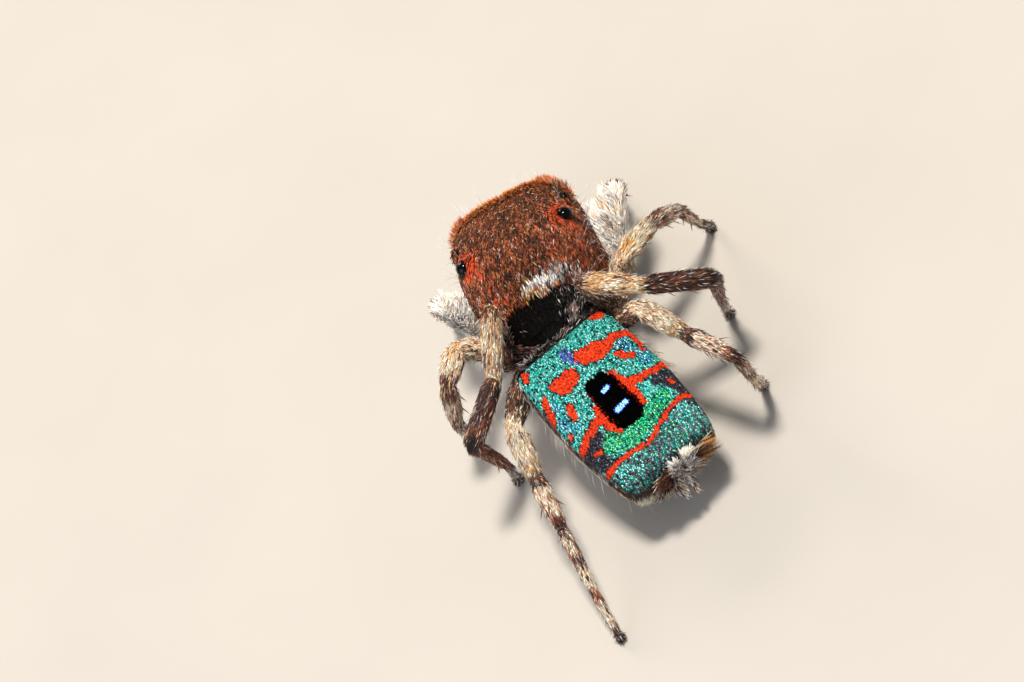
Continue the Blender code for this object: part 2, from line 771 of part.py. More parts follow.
def make_leg(side, number, prosoma, materials):
    """Make one leg as femur, tibia and tarsus nodes."""
    joints = leg_joints(side, number, prosoma)
    ways = [(b - a).normalized() for a, b in zip(joints, joints[1:])]
    stem = f"leg_{number}_{side}"
    femur = tube_object(
        f"{stem}_femur", tube(joints[0:3], (COXA_PROFILE, FEMUR_PROFILE), after=ways[2]))
    tibia = tube_object(
        f"{stem}_tibia", tube(joints[2:5], (PATELLA_PROFILE, TIBIA_PROFILE), ways[1], ways[4]))
    tarsus = tube_object(
        f"{stem}_tarsus", tube(joints[4:7], (METATARSUS_PROFILE, TARSUS_PROFILE), ways[3]))
    if number == 1:
        out = prosoma.right if side == "right" else -prosoma.right
        radii = (COXA_PROFILE[0][1], *(r for _, r in FEMUR_PROFILE[0:4:3]))
        rows = (out, -prosoma.up, out - prosoma.forward, out + prosoma.forward, -prosoma.forward)
        locks = tube_locks(joints[0:3], radii, FEMUR_HAIRED, FEMUR_LOCKS,
                           FEMUR_LOCK_LENGTH, FEMUR_LOCK_WIDTH, rows)
        knee = (joints[2], joints[3], LEG_REACH)
        obstacles = [*leg_obstacles([(side, 2)], prosoma), knee]
        boolean(femur, clear_locks(locks, obstacles), "UNION")
    boolean(femur, [carapace("grown", prosoma, GAP), sternum("grown", prosoma, GAP)], "DIFFERENCE")
    boolean(tibia, leg_spines(joints, 3, "tibia"), "UNION")
    boolean(tarsus, [sole(joints[-1]), *leg_spines(joints, 4, "metatarsus")], "UNION")
    for node in (femur, tibia, tarsus):
        keep_largest(node)
        finish(node, materials["leg_cuticle"])


def main():
    """Build every node of the spider."""
    for obj in list(bpy.data.objects):
        bpy.data.objects.remove(obj)
    random.seed(11)
    materials = {name: make_material(name) for name in MATERIALS}
    prosoma, plate = body_axes()
    make_prosoma(prosoma, materials)
    make_abdomen(plate, prosoma, leg_obstacles(LEG_ANGLES, prosoma), materials)
    make_jaws_and_palps(prosoma, leg_obstacles(FRONT_LEGS, prosoma), materials)
    for side, number in LEG_ANGLES:
        make_leg(side, number, prosoma, materials)


main()
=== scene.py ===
import math

import bpy
import numpy as np
from mathutils import Matrix, Vector
from mathutils.kdtree import KDTree


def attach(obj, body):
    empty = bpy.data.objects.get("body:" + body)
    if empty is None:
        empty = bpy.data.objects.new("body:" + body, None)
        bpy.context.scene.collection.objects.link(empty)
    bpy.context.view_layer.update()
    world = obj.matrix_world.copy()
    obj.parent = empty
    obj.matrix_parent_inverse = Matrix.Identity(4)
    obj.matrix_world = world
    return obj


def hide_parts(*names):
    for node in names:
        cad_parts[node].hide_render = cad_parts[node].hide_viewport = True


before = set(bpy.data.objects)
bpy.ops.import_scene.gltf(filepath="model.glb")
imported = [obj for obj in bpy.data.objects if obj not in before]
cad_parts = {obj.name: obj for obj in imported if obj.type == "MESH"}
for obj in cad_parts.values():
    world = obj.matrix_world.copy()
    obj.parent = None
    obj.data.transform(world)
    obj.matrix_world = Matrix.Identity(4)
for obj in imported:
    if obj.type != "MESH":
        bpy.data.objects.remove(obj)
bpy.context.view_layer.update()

METRES_PER_MM = 0.001
RNG = np.random.default_rng(5)
FULL_TURN = 2 * math.pi
SIDES = (("right", 1), ("left", -1))
# The skin lies this far inside the solid, to leave room for the coat
COAT_DEPTH = 0.015
FLOOR_LIFT = 0.002
# Width of one hair's patch on the unwrap, and the unwrap's empty margin
PATCH = 0.003
UNWRAP_MARGIN = 0.01
# Share of a clump's hairs that draw the same colour
CLUMP_SHARE = 0.72
# Brightness of the skin against the coat on it
UNDER_COAT = 0.25
UNDER_BROW = 0.6
UNDER_LEG_COAT = 0.7

# Stance, as the solids have it
PEDICEL_PLACE = (0.183, -0.361, 1.38)
PROSOMA_PITCH = -18.0
ABDOMEN_YAW = 19.0
ABDOMEN_PITCH = 22.0
ABDOMEN_ROLL = -7.0
PLATE_PLACE = (-0.286, -0.158, 0.453)

# Cross-sections: distance along the body, half width, top, bottom
CARAPACE_SECTIONS = (
    (0.00, 0.18, 0.02, -0.24),
    (0.09, 0.33, 0.12, -0.29),
    (0.22, 0.45, 0.26, -0.31),
    (0.36, 0.56, 0.40, -0.32),
    (0.52, 0.66, 0.53, -0.32),
    (0.72, 0.75, 0.66, -0.32),
    (0.95, 0.82, 0.76, -0.32),
    (1.17, 0.85, 0.82, -0.32),
    (1.45, 0.85, 0.86, -0.31),
    (1.74, 0.83, 0.87, -0.29),
    (1.97, 0.78, 0.84, -0.26),
    (2.11, 0.71, 0.76, -0.22),
    (2.19, 0.57, 0.63, -0.15),
    (2.23, 0.37, 0.46, -0.02),
)
STERNUM_SECTIONS = (
    (0.26, 0.10, -0.36, -0.46),
    (0.38, 0.19, -0.35, -0.55),
    (0.62, 0.25, -0.34, -0.61),
    (0.95, 0.27, -0.34, -0.63),
    (1.25, 0.24, -0.34, -0.61),
    (1.45, 0.18, -0.34, -0.56),
    (1.54, 0.10, -0.35, -0.48),
)
ABDOMEN_SECTIONS = (
    (-0.13, 0.30, -0.22, -0.52),
    (-0.09, 0.50, -0.12, -0.64),
    (0.00, 0.64, -0.03, -0.74),
    (0.14, 0.69, 0.00, -0.81),
    (0.40, 0.72, 0.01, -0.87),
    (0.75, 0.74, 0.02, -0.89),
    (1.10, 0.75, 0.02, -0.87),
    (1.45, 0.73, 0.01, -0.81),
    (1.75, 0.70, 0.00, -0.72),
    (1.95, 0.66, -0.03, -0.62),
    (2.05, 0.56, -0.10, -0.54),
    (2.09, 0.34, -0.20, -0.44),
)
CARAPACE_WAIST = 0.35
CARAPACE_POWERS = (3.4, 5.0)
STERNUM_POWERS = (3.0, 2.4)
PLATE_EDGE_DROP = 0.13
ABDOMEN_POWERS = (4.0, 2.3)

# Eyes: place from the pedicel, the way each looks, and its radius
EYES = {
    "eye_front_middle": ((2.13, 0.250, 0.34), (1.0, 0.05, 0.05), 0.210),
    "eye_front_side": ((2.06, 0.645, 0.49), (0.75, 0.60, 0.25), 0.120),
    "eye_small": ((1.53, 0.735, 0.69), (0.10, 0.80, 0.60), 0.050),
    "eye_rear_side": ((1.15, 0.670, 0.680), (-0.10, 0.80, 0.60), 0.105),
}
TURRET_RIM = 0.035
TURRET_SINK = 0.85
TURRET_BLEND = 0.07
EYE_ROWS = 40
EYE_TURNS = 56

# Legs: lengths of femur, patella, tibia, metatarsus and tarsus, then places and angles
SEGMENT_LENGTHS = {
    1: (1.02, 0.46, 0.52, 0.42, 0.34),
    2: (0.95, 0.56, 0.62, 0.55, 0.43),
    3: (1.20, 0.78, 0.88, 0.88, 0.56),
    4: (1.19, 0.64, 0.76, 0.86, 0.60),
}
HIPS = {
    1: (1.38, 0.74, -0.42),
    2: (1.02, 0.82, -0.42),
    3: (0.55, 0.76, -0.42),
    4: (0.22, 0.58, -0.40),
}
COXA_ROOTS = {
    1: (1.24, 0.20, -0.47),
    2: (0.94, 0.20, -0.47),
    3: (0.64, 0.20, -0.47),
    4: (0.36, 0.18, -0.46),
}
LEG_ANGLES = {
    ("right", 1): ((54, 49), (-8, -44), (-10, -46), (-10, -48), -10),
    ("left", 1): ((100, 67), (8, -50), (8, -54), (8, -56), 8),
    ("right", 2): ((141, 60), (54, -9), (37, -42), (25, -71), 19),
    ("left", 2): ((140, 56), (155, 8), (115, -73), (4, -64), 14),
    ("right", 3): ((202, 69), (124, -5), (89, -33), (-20, -64), -12),
    ("left", 3): ((232, 76), (149, -36), (142, -5), (-38, -73), 11),
    ("right", 4): ((144, 44), (143, -27), (145, -7), (2, -76), -4),
    ("left", 4): ((164, 20), (176, -37), (183, -10), (181, -27), 183),
}
TIP_HEIGHT = 0.085
# The third pair of legs is stouter
STOUT_LEG = 3
STOUT_TIBIA = ((0.0, 0.110), (0.20, 0.128), (0.60, 0.138), (0.92, 0.134))
STOUT_METATARSUS = ((0.0, 0.100), (0.25, 0.100), (0.70, 0.088))
# Spines on each length of a leg: where along it and the turn from its top, length and limb's radius
SPINES = {
    3: (((0.30, 150), (0.30, 210), (0.62, 150), (0.62, 210), (0.55, 75), (0.55, 285)), 0.19, 0.102),
    4: (((0.35, 150), (0.35, 210), (0.80, 150), (0.80, 210)), 0.15, 0.070),
}
SPINE_LEAN = 34
# A front leg's long white hair grows on this stretch, counted in lengths
WHITE_FEMUR = (1.05, 2.03)

# Half thickness along each length of a leg: share of the length, radius
LEG_PROFILES = (
    ((0.0, 0.110), (0.45, 0.120), (0.85, 0.110)),
    ((0.0, 0.100), (0.16, 0.128), (0.40, 0.158), (0.68, 0.152), (0.90, 0.118)),
    ((0.0, 0.112), (0.22, 0.140), (0.62, 0.144), (0.88, 0.116)),
    ((0.0, 0.102), (0.20, 0.120), (0.60, 0.118), (0.88, 0.096)),
    ((0.0, 0.080), (0.25, 0.088), (0.70, 0.078)),
    ((0.0, 0.066), (0.35, 0.068), (0.80, 0.060), (0.97, 0.048)),
)
PALP_PATH = (
    (1.60, 0.30, -0.47),
    (1.86, 0.42, -0.49),
    (2.20, 0.66, -0.30),
    (2.38, 0.78, -0.17),
    (2.50, 0.82, -0.30),
    (2.55, 0.79, -0.50),
)
PALP_RADII = (0.085, 0.090, 0.100, 0.115, 0.125, 0.060)
JAW_PATH = ((1.98, 0.175, -0.16), (2.03, 0.170, -0.36), (2.05, 0.150, -0.60))
JAW_RADII = (0.150, 0.150, 0.085)
PEDICEL_RADIUS = 0.11
SPINNERET_BASE = (1.97, -0.42)
SPINNERETS = (
    (0.10, -0.02, 0.26, 0.075),
    (0.06, 0.07, 0.20, 0.055),
)

# Colours in sRGB, named for what wears them
COLOURS = dict(
    # The palest turquoise scales are partly painted highlight: they stand for the scales' glints
    teal_dark="#06383A", teal="#10A090", turquoise="#30DCCE", turquoise_pale_and_glint="#98FFF2",
    green="#1CD880", green_pale="#84FFBC", sky="#40B4E4", sky_pale="#A4ECFF",
    violet="#5468EC", violet_pale="#A8BCFF",
    red="#DC3406", red_pale="#EE5018", red_dark="#B42406", ember="#5A1206",
    slate="#3A3846", slate_pale="#84949A", slate_mid="#6E7E86",
    velvet="#010102", spot="#8CCCF8", spot_rim="#1828C8",
    rust="#84401F", rust_dark="#351B10", rust_pale="#C26838",
    # The pale pink hair on the head is partly painted highlight: it stands for glints on the hair
    orange="#EC562A", rose_and_glint="#EDB49E", gold="#E0A040",
    cream="#FFEED2", tan="#F2C294", pink="#D2A592", brown="#8A4E38",
    dark="#2A1B17", grey="#9C9490", white="#FFFAF4", black="#060404",
)

# Mixes of hair colours, in hundredths
MIXES = {
    "plate_rest": dict(turquoise=36, turquoise_pale_and_glint=44, teal=4, teal_dark=16),
    "plate_green": dict(green=36, green_pale=28, turquoise=16, teal_dark=20),
    "plate_violet": dict(violet=44, violet_pale=34, sky=10, teal_dark=12),
    "plate_sky": dict(sky=34, sky_pale=32, turquoise=14, teal_dark=20),
    "plate_red": dict(red=74, red_pale=10, red_dark=16),
    "plate_ember": dict(velvet=40, ember=40, red_dark=20),
    "plate_slate": dict(slate=90, slate_pale=10),
    "plate_sparse": dict(slate=12, slate_mid=48, teal=12, turquoise=8, turquoise_pale_and_glint=12, green_pale=8),
    "plate_dots": dict(slate=12, slate_mid=24, turquoise=20, turquoise_pale_and_glint=38, sky_pale=6),
    "plate_edge": dict(teal_dark=55, slate=45),
    "plate_velvet": dict(velvet=100),
    "plate_spot": dict(spot=100),
    "plate_spot_rim": dict(spot_rim=100),
    "crown": dict(rust=40, rust_dark=30, rust_pale=22, rose_and_glint=3, gold=5),
    "crown_dark": dict(rust_dark=52, rust=36, rust_pale=10, gold=2),
    "crown_rear": dict(rust=40, rust_dark=32, rust_pale=22, rose_and_glint=4, gold=2),
    "crown_side": dict(rust_pale=36, orange=9, rust=30, rust_dark=20, rose_and_glint=5),
    "brow": dict(rust_pale=36, orange=12, gold=36, rose_and_glint=16),
    "eye_ring": dict(orange=66, rust_pale=24, rust=10),
    "tuft": dict(rust_pale=40, rose_and_glint=20, gold=10, rust=30),
    "nape": dict(white=92, cream=8),
    "nape_side": dict(cream=40, gold=16, rose_and_glint=10, rust_pale=22, brown=12),
    "haze": dict(grey=40, rust_dark=20, rust=14, white=14, rose_and_glint=12),
    "slope_grey": dict(black=50, dark=28, grey=19, white=3),
    "slope": dict(black=86, dark=14),
    "cheek": dict(rust=46, rust_dark=34, rust_pale=16, rose_and_glint=4),
    "pale_fuzz": dict(cream=40, white=26, tan=22, grey=12),
    "dark_fuzz": dict(dark=50, grey=26, brown=16, white=8),
    "front_fuzz": dict(dark=50, grey=20, black=30),
    "white_fuzz": dict(white=86, cream=10, grey=4),
    "plume_fuzz": dict(white=66, cream=14, tan=8, grey=12),
    "tail_fuzz": dict(brown=34, dark=30, gold=16, cream=20),
    "leg_cream": dict(cream=68, tan=14, gold=2, brown=10, dark=6),
    "leg_pale": dict(cream=68, tan=24, brown=6, dark=2),
    "leg_gold": dict(gold=16, tan=24, cream=39, brown=15, dark=6),
    "leg_glow": dict(cream=54, gold=36, tan=10),
    "leg_mottled": dict(cream=46, tan=20, pink=8, brown=16, dark=10),
    # Mostly dark hair for the femora of the back two pairs: painted shadow where the body shades them
    "leg_shade": dict(dark=60, brown=24, tan=10, cream=6),
    "leg_pink": dict(pink=24, cream=46, rust_pale=6, brown=15, dark=9),
    "leg_dark": dict(dark=64, brown=18, grey=5, rust=10, tan=3),
    "leg_knee": dict(brown=30, tan=26, dark=22, grey=14, rust=8),
    "leg_rust": dict(rust=40, brown=22, rust_pale=20, dark=18),
    "leg_grey": dict(grey=42, pink=18, brown=24, white=16),
}

# Leg coats: each mix runs up to this place, counted in lengths from the coxa's root
LEG_ZONES = {
    1: {
        1.0: "leg_grey", 2.02: "white_fuzz", 2.14: "leg_knee", 2.9: "leg_mottled", 3.15: "leg_dark",
        4.0: "leg_pink", 4.2: "leg_dark", 5.0: "leg_cream", 6.0: "leg_dark",
    },
    2: {
        1.0: "leg_grey", 1.95: "leg_mottled", 2.2: "leg_gold", 2.74: "leg_cream", 3.2: "leg_knee",
        3.8: "leg_pink", 4.15: "leg_dark", 5.0: "leg_pink", 6.0: "leg_dark",
    },
    # The femora of the back two pairs wear painted shadow
    3: {
        1.78: "leg_shade", 2.05: "leg_knee", 2.76: "leg_gold", 2.94: "leg_glow", 4.05: "leg_dark",
        5.0: "leg_rust", 5.6: "leg_grey", 6.0: "leg_dark",
    },
    4: {
        1.88: "leg_shade", 2.66: "leg_pale", 2.84: "leg_glow", 3.18: "leg_dark", 3.74: "leg_pink",
        3.84: "leg_rust", 4.08: "leg_dark", 4.4: "leg_pink", 4.58: "leg_dark", 4.92: "leg_cream",
        5.12: "leg_rust", 5.72: "leg_pink", 6.0: "leg_dark",
    },
}

# Markings on the plate: chains of behind the plate's front, to the right, radius
RED_CHAINS = (
    ((-0.03, 0.50, 0.060), (0.02, 0.58, 0.060)),
    ((0.03, -0.56, 0.036), (0.09, -0.60, 0.034)),
    ((0.32, 0.09, 0.105), (0.37, 0.24, 0.122), (0.39, 0.36, 0.085), (0.37, 0.47, 0.052),
     (0.38, 0.60, 0.040), (0.45, 0.69, 0.038), (0.58, 0.70, 0.036), (0.72, 0.66, 0.026)),
    ((0.42, -0.20, 0.105), (0.44, -0.33, 0.120), (0.39, -0.42, 0.060)),
    ((0.42, -0.60, 0.026), (0.52, -0.65, 0.036), (0.66, -0.69, 0.032), (0.74, -0.70, 0.022)),
    ((0.55, 0.40, 0.032), (0.63, 0.45, 0.045), (0.71, 0.53, 0.030)),
    ((0.68, -0.46, 0.038), (0.77, -0.48, 0.052), (0.85, -0.49, 0.036)),
    ((1.03, 0.74, 0.045), (1.01, 0.58, 0.042), (0.98, 0.42, 0.046), (0.94, 0.27, 0.060)),
    ((0.70, 0.19, 0.030), (0.85, 0.22, 0.045), (1.02, 0.23, 0.055), (1.22, 0.23, 0.035)),
    ((1.21, -0.71, 0.045), (1.13, -0.56, 0.044), (1.08, -0.42, 0.048), (1.05, -0.29, 0.058)),
    ((0.92, -0.24, 0.030), (1.05, -0.28, 0.050), (1.20, -0.27, 0.058), (1.32, -0.22, 0.032)),
    ((1.52, 0.71, 0.030), (1.47, 0.52, 0.030), (1.50, 0.38, 0.026), (1.56, 0.21, 0.026),
     (1.63, 0.03, 0.026), (1.65, -0.10, 0.028), (1.62, -0.28, 0.026), (1.61, -0.45, 0.028),
     (1.62, -0.60, 0.032), (1.65, -0.70, 0.032)),
    ((1.25, 0.64, 0.026), (1.26, 0.65, 0.024)),
    ((0.97, -0.68, 0.034), (1.00, -0.70, 0.032)),
    ((1.35, -0.64, 0.030), (1.37, -0.56, 0.036)),
    ((1.80, -0.47, 0.014), (1.81, -0.46, 0.014)),
)
VELVET_CHAIN = ((0.76, -0.015, 0.200), (1.20, -0.015, 0.222))
VELVET_ENDS = 0.165
VELVET_CORNER = 0.17
SPOT_CHAINS = (
    ((0.825, -0.034, 0.027), (0.815, 0.036, 0.027)),
    ((1.115, -0.072, 0.032), (1.098, 0.070, 0.032)),
)
SPOT_RIM = 0.009
RED_OUTLINE = 0.011
VIOLET_CHAIN = ((0.130, -0.055, 0.045), (0.265, -0.020, 0.055))
SKY_CHAINS = (
    ((0.50, 0.50, 0.050), (0.56, 0.58, 0.060)),
    ((0.74, 0.64, 0.060), (0.82, 0.62, 0.060)),
    ((0.80, -0.64, 0.040), (0.95, -0.58, 0.050)),
    ((0.60, -0.58, 0.020), (0.66, -0.56, 0.020)),
)
GREEN_CHAIN = ((1.36, 0.42, 0.110), (1.42, 0.10, 0.140), (1.44, -0.20, 0.140), (1.38, -0.42, 0.100))
SLATE_CHAINS = (
    ((1.12, 0.52, 0.050), (1.20, 0.66, 0.100), (1.42, 0.68, 0.050)),
    ((1.22, -0.46, 0.045), (1.30, -0.66, 0.080), (1.50, -0.62, 0.080)),
)
# The rear zone starts this far behind at these places to the right
REAR_EDGE = ((-0.70, -0.1, 0.2, 0.5, 0.72), (1.65, 1.65, 1.56, 1.47, 1.52))
REAR_FADE = (1.90, 2.12)
REAR_DOTS = 0.34
FRINGE_AHEAD = (-0.98, -0.28)
FRINGE_UP = (-0.50, -0.16)
FRINGE_SHARE = 0.45
TAIL_MIDDLE = 0.08
TAIL_REACH = 0.36
TAIL_WHITE = 0.16
TAIL_PART = 0.03
EDGE_WOBBLE = 0.012

# Plate scales: grids of spacing and shares of the length, then what grows on each:
# grid, mixes, finish, length, width, bank and painted shade at the root
PLATE_GRIDS = {
    "wide": (0.0240, (0.0, 1.0)),
    "coarse": (0.0190, (0.0, 1.0)),
    "fine": (0.0125, (0.2, 0.8)),
}
PLATE_STYLES = {
    "foil": ("wide", ("plate_rest", "plate_green", "plate_violet", "plate_sky"), "foil_scales",
             0.055, 0.034, 0.60, 0.40),
    "mixed": ("wide", ("plate_sparse", "plate_dots", "plate_slate", "plate_edge"), "foil_scales",
              0.055, 0.033, 0.45, 0.45),
    "red": ("coarse", ("plate_red",), "pigment_scales", 0.052, 0.036, 0.08, 0.90),
    "velvet": ("fine", ("plate_velvet", "plate_ember"), "velvet_scales", 0.042, 0.024, 0.3, 0.60),
    "mirror": ("fine", ("plate_spot", "plate_spot_rim"), "mirror_scales", 0.034, 0.026, 0.05, 1.0),
}

# Edges of the carapace's zones, in two of the ways ahead, aside and up
SIDE_EDGE = (0.36, 1.12)
CHEEK_EDGE = (0.72, 0.42)
BROW_EDGE = (1.84, 0.40)
SLOPE_EDGE = (0.36, 0.62)
# Patches on the carapace: mix, place ahead, slant, place aside, half length, half width, blur, reach
PATCHES_UNDER_SLOPE = (
    ("haze", 0.50, 0.0, 0.42, 0.13, 0.30, 0.5, 1.15),
    ("nape_side", 0.43, 0.25, 0.0, 0.085, 0.17, 0.4, 1.2),
)
PATCHES_OVER_SLOPE = (
    ("nape", 0.515, 0.10, 0.13, 0.052, 0.22, 0.25, 1.1),
    ("haze", 0.12, 0.0, 0.33, 0.09, 0.10, 0.5, 1.1),
)
# How some zones' hair differs: length and width factors, lift, and painted shade at the root
CROWN_HAIR = {
    "nape": (1.15, 1.3, 0.16, 0.85),
    "brow": (1.35, 0.8, 0.8, 0.5),
    "eye_ring": (1.0, 1.1, 0.5, 0.5),
    "slope": (0.55, 1.0, 0.16, 0.35),
    "slope_grey": (0.80, 0.9, 0.30, 0.35),
}
CROWN_MIDDLE = 1.30
# Clumps are drawn out along the body by squeezing their forward places
CROWN_SQUEEZE = 0.30
LEG_SQUEEZE = 0.18


# Small vector helpers
def unit(vectors):
    """Return the vectors at length one."""
    return vectors / np.maximum(np.linalg.norm(vectors, axis=-1, keepdims=True), 1e-12)


def column(values, count):
    """Return values as a column that goes with count rows."""
    return np.broadcast_to(np.asarray(values, float), (count,))[:, None]


def smooth_rows(table, places):
    """Read a table's rows at fractional places along a smooth curve."""
    rows = np.asarray(table, float)
    places = np.clip(places, 0, len(rows) - 1)
    index = np.minimum(places.astype(int), len(rows) - 2)
    share = (places - index)[:, None]
    start = rows[index]
    end = rows[index + 1]
    before = rows[np.maximum(index - 1, 0)]
    after = rows[np.minimum(index + 2, len(rows) - 1)]
    slope_in = (end - before) / 2
    slope_out = (after - start) / 2
    square = share * share
    cube = square * share
    return (
        start * (2 * cube - 3 * square + 1) + end * (3 * square - 2 * cube)
        + slope_in * (cube - 2 * square + share) + slope_out * (cube - square)
    )


def within(values, low, high):
    """Tell which values lie between two bounds."""
    return (values > low) & (values < high)


def linear(code):
    """Turn an sRGB hex code into linear RGB."""
    parts = [int(code[i:i + 2], 16) / 255 for i in (1, 3, 5)]
    return [c / 12.92 if c <= 0.04045 else ((c + 0.055) / 1.055) ** 2.4 for c in parts]


LINEAR = {name: np.array(linear(code)) for name, code in COLOURS.items()}


class Axes:
    """A place with its own forward, right and up directions."""

    def __init__(self, origin, yaw, pitch, roll):
        yaw = math.radians(yaw)
        pitch = math.radians(pitch)
        level = Vector((math.sin(yaw), -math.cos(yaw), 0.0))
        forward = level * math.cos(pitch) + Vector((0, 0, math.sin(pitch)))
        side = forward.cross(Vector((0, 0, 1))).normalized()
        right = Matrix.Rotation(math.radians(-roll), 3, forward) @ side
        self.origin = np.array(origin, float)
        self.forward = np.array(forward)
        self.right = np.array(right)
        self.up = np.array(right.cross(forward))

    def at(self, forward, right, up):
        """Return points this far forward, right and up of the origin."""
        steps = np.stack(np.broadcast_arrays(forward, right, up), axis=-1)
        return self.origin + steps @ np.stack((self.forward, self.right, self.up))

    def read(self, points):
        """Return how far forward, right and up of the origin the points are."""
        return (points - self.origin) @ np.stack((self.forward, self.right, self.up), axis=1)


PROSOMA = Axes(PEDICEL_PLACE, 0.0, PROSOMA_PITCH, 0.0)
ABDOMEN = Axes(PEDICEL_PLACE, ABDOMEN_YAW, ABDOMEN_PITCH, ABDOMEN_ROLL)
ABDOMEN.origin = ABDOMEN.at(*PLATE_PLACE)


# Surfaces: each gives a point for a share of its length and a turn about it
def tube_faces(rows, sides):
    """Return the triangles of rings of points, and of the fans to a hub at either end."""
    ring = np.arange(sides)
    ahead = (ring + 1) % sides
    starts = np.arange(rows - 1)[:, None] * sides
    first, after = starts + ring, starts + ahead
    quads = np.stack((first, after, after + sides, first + sides), axis=-1).reshape(-1, 4)
    last = (rows - 1) * sides
    hub = rows * sides
    start_fan = np.stack((ahead, ring, np.full(sides, hub)), axis=1)
    end_fan = np.stack((last + ring, last + ahead, np.full(sides, hub + 1)), axis=1)
    return np.concatenate((quads[:, (0, 1, 2)], quads[:, (0, 2, 3)], start_fan, end_fan))


class Surface:
    """A closed surface read by share of its length and turn about it."""

    GRID = 240

    def frame(self, share, turn):
        """Return points, their outward normals and the way along the surface."""
        step = 1e-3
        low = np.clip(share - step, 0, 1)
        high = np.clip(share + step, 0, 1)
        point = self.place(share, turn)
        along = self.place(high, turn) - self.place(low, turn)
        around = self.place(share, turn + step) - self.place(share, turn - step)
        normal = unit(np.cross(along, around))
        inward = np.sum(normal * (point - self.middle(share)), axis=1) < 0
        normal[inward] *= -1
        return point, normal, unit(along)

    def skin(self, rows, sides):
        """Return the points and triangles of a fine skin, its ends closed by fans."""
        shares = np.linspace(0, 1, rows)
        turns = self.even_turns(sides)
        points = self.place(np.repeat(shares, sides), np.tile(turns, rows))
        hubs = np.stack((points[:sides].mean(axis=0), points[-sides:].mean(axis=0)))
        return np.concatenate((points, hubs)), tube_faces(rows, sides)

    def even_turns(self, sides):
        """Return turns that are evenly far apart round the middle of the surface."""
        return np.arange(sides) * FULL_TURN / sides

    def scatter(self, low, high, crowd):
        """Draw shares and turns evenly over the surface, this many to a square millimetre."""
        shares = np.linspace(low, high, self.GRID + 1)
        turns = np.append(self.even_turns(self.GRID), FULL_TURN)
        grid = self.place(np.repeat(shares, self.GRID + 1), np.tile(turns, self.GRID + 1))
        grid = grid.reshape(self.GRID + 1, self.GRID + 1, 3)
        along = grid[1:, :-1] - grid[:-1, :-1]
        around = grid[:-1, 1:] - grid[:-1, :-1]
        area = np.cumsum(np.linalg.norm(np.cross(along, around), axis=2))
        count = int(area[-1] * crowd)
        cell = np.searchsorted(area, RNG.random(count) * area[-1]).clip(0, len(area) - 1)
        row, side = np.divmod(cell, self.GRID)
        share = shares[row] + RNG.random(count) * (shares[1] - shares[0])
        return share, turns[side] + RNG.random(count) * (turns[side + 1] - turns[side])

    def rise_ahead(self, roots, reach):
        """Return how steeply the surface rises along its length in front of each root."""
        ahead = self.place(np.clip(roots.share + reach / self.length, 0, 1), roots.turn) - roots.point
        return np.sum(ahead * roots.normal, axis=1) / reach


class Shell(Surface):
    """A body of rounded-box sections, with a shallow dome at either end."""

    DOME_SHARE = 0.03

    def __init__(self, axes, sections, sign, waist, powers, domes):
        self.axes = axes
        self.table = np.array(sections, float)
        self.sign = sign
        self.waist = waist
        self.powers = powers
        self.domes = domes
        self.turrets = []

    def section(self, share):
        """Return distance along, half width, top, bottom and shrinkage at these shares."""
        inner = np.clip((share - self.DOME_SHARE) / (1 - 2 * self.DOME_SHARE), 0, 1)
        start, end = self.table[0, 0], self.table[-1, 0]
        along = start + (end - start) * inner
        places = np.interp(along, self.table[:, 0], np.arange(len(self.table)))
        half_width, top, bottom = smooth_rows(self.table[:, 1:], places).T
        before = np.clip(1 - share / self.DOME_SHARE, 0, 1) * math.pi / 2
        behind = np.clip(1 - (1 - share) / self.DOME_SHARE, 0, 1) * math.pi / 2
        shrink = np.maximum(np.cos(before) * np.cos(behind), 0.02)
        along = along - self.domes[0] * np.sin(before) + self.domes[1] * np.sin(behind)
        return along, half_width - COAT_DEPTH, top - COAT_DEPTH, bottom + COAT_DEPTH, shrink

    def middle(self, share):
        """Return the middle of the section at each share."""
        along, _, top, bottom, _ = self.section(share)
        return self.axes.at(self.sign * along, 0.0, self.waist(top, bottom))

    def place(self, share, turn):
        """Return surface points."""
        along, half_width, top, bottom, shrink = self.section(share)
        waist = self.waist(top, bottom)
        sine = np.sin(turn)
        cosine = np.cos(turn)
        shape = np.where(sine >= 0, 2 / self.powers[0], 2 / self.powers[1])
        reach = np.where(sine >= 0, top - waist, waist - bottom)
        across = half_width * np.sign(cosine) * np.abs(cosine) ** shape
        rise = reach * np.sign(sine) * np.abs(sine) ** shape
        points = self.axes.at(self.sign * along, across * shrink, waist + rise * shrink)
        for centre, radius in self.turrets:
            points = swell(points, centre, radius)
        return points

    def even_turns(self, sides):
        """Return turns that are evenly far apart round the middle section."""
        fine = np.linspace(0, FULL_TURN, 4001)
        ring = self.place(np.full(len(fine), 0.5), fine)
        lengths = np.concatenate(([0], np.cumsum(np.linalg.norm(np.diff(ring, axis=0), axis=1))))
        return np.interp(np.arange(sides) * lengths[-1] / sides, lengths, fine)


def swell(points, centre, radius):
    """Push points out of a ball, with a smooth fillet where they leave it."""
    reach = points - centre
    far = np.linalg.norm(reach, axis=1)
    blend = np.clip(0.5 + 0.5 * (far - radius) / TURRET_BLEND, 0, 1)
    wanted = radius + (far - radius) * blend + TURRET_BLEND * blend * (1 - blend)
    return centre + unit(reach) * wanted[:, None]


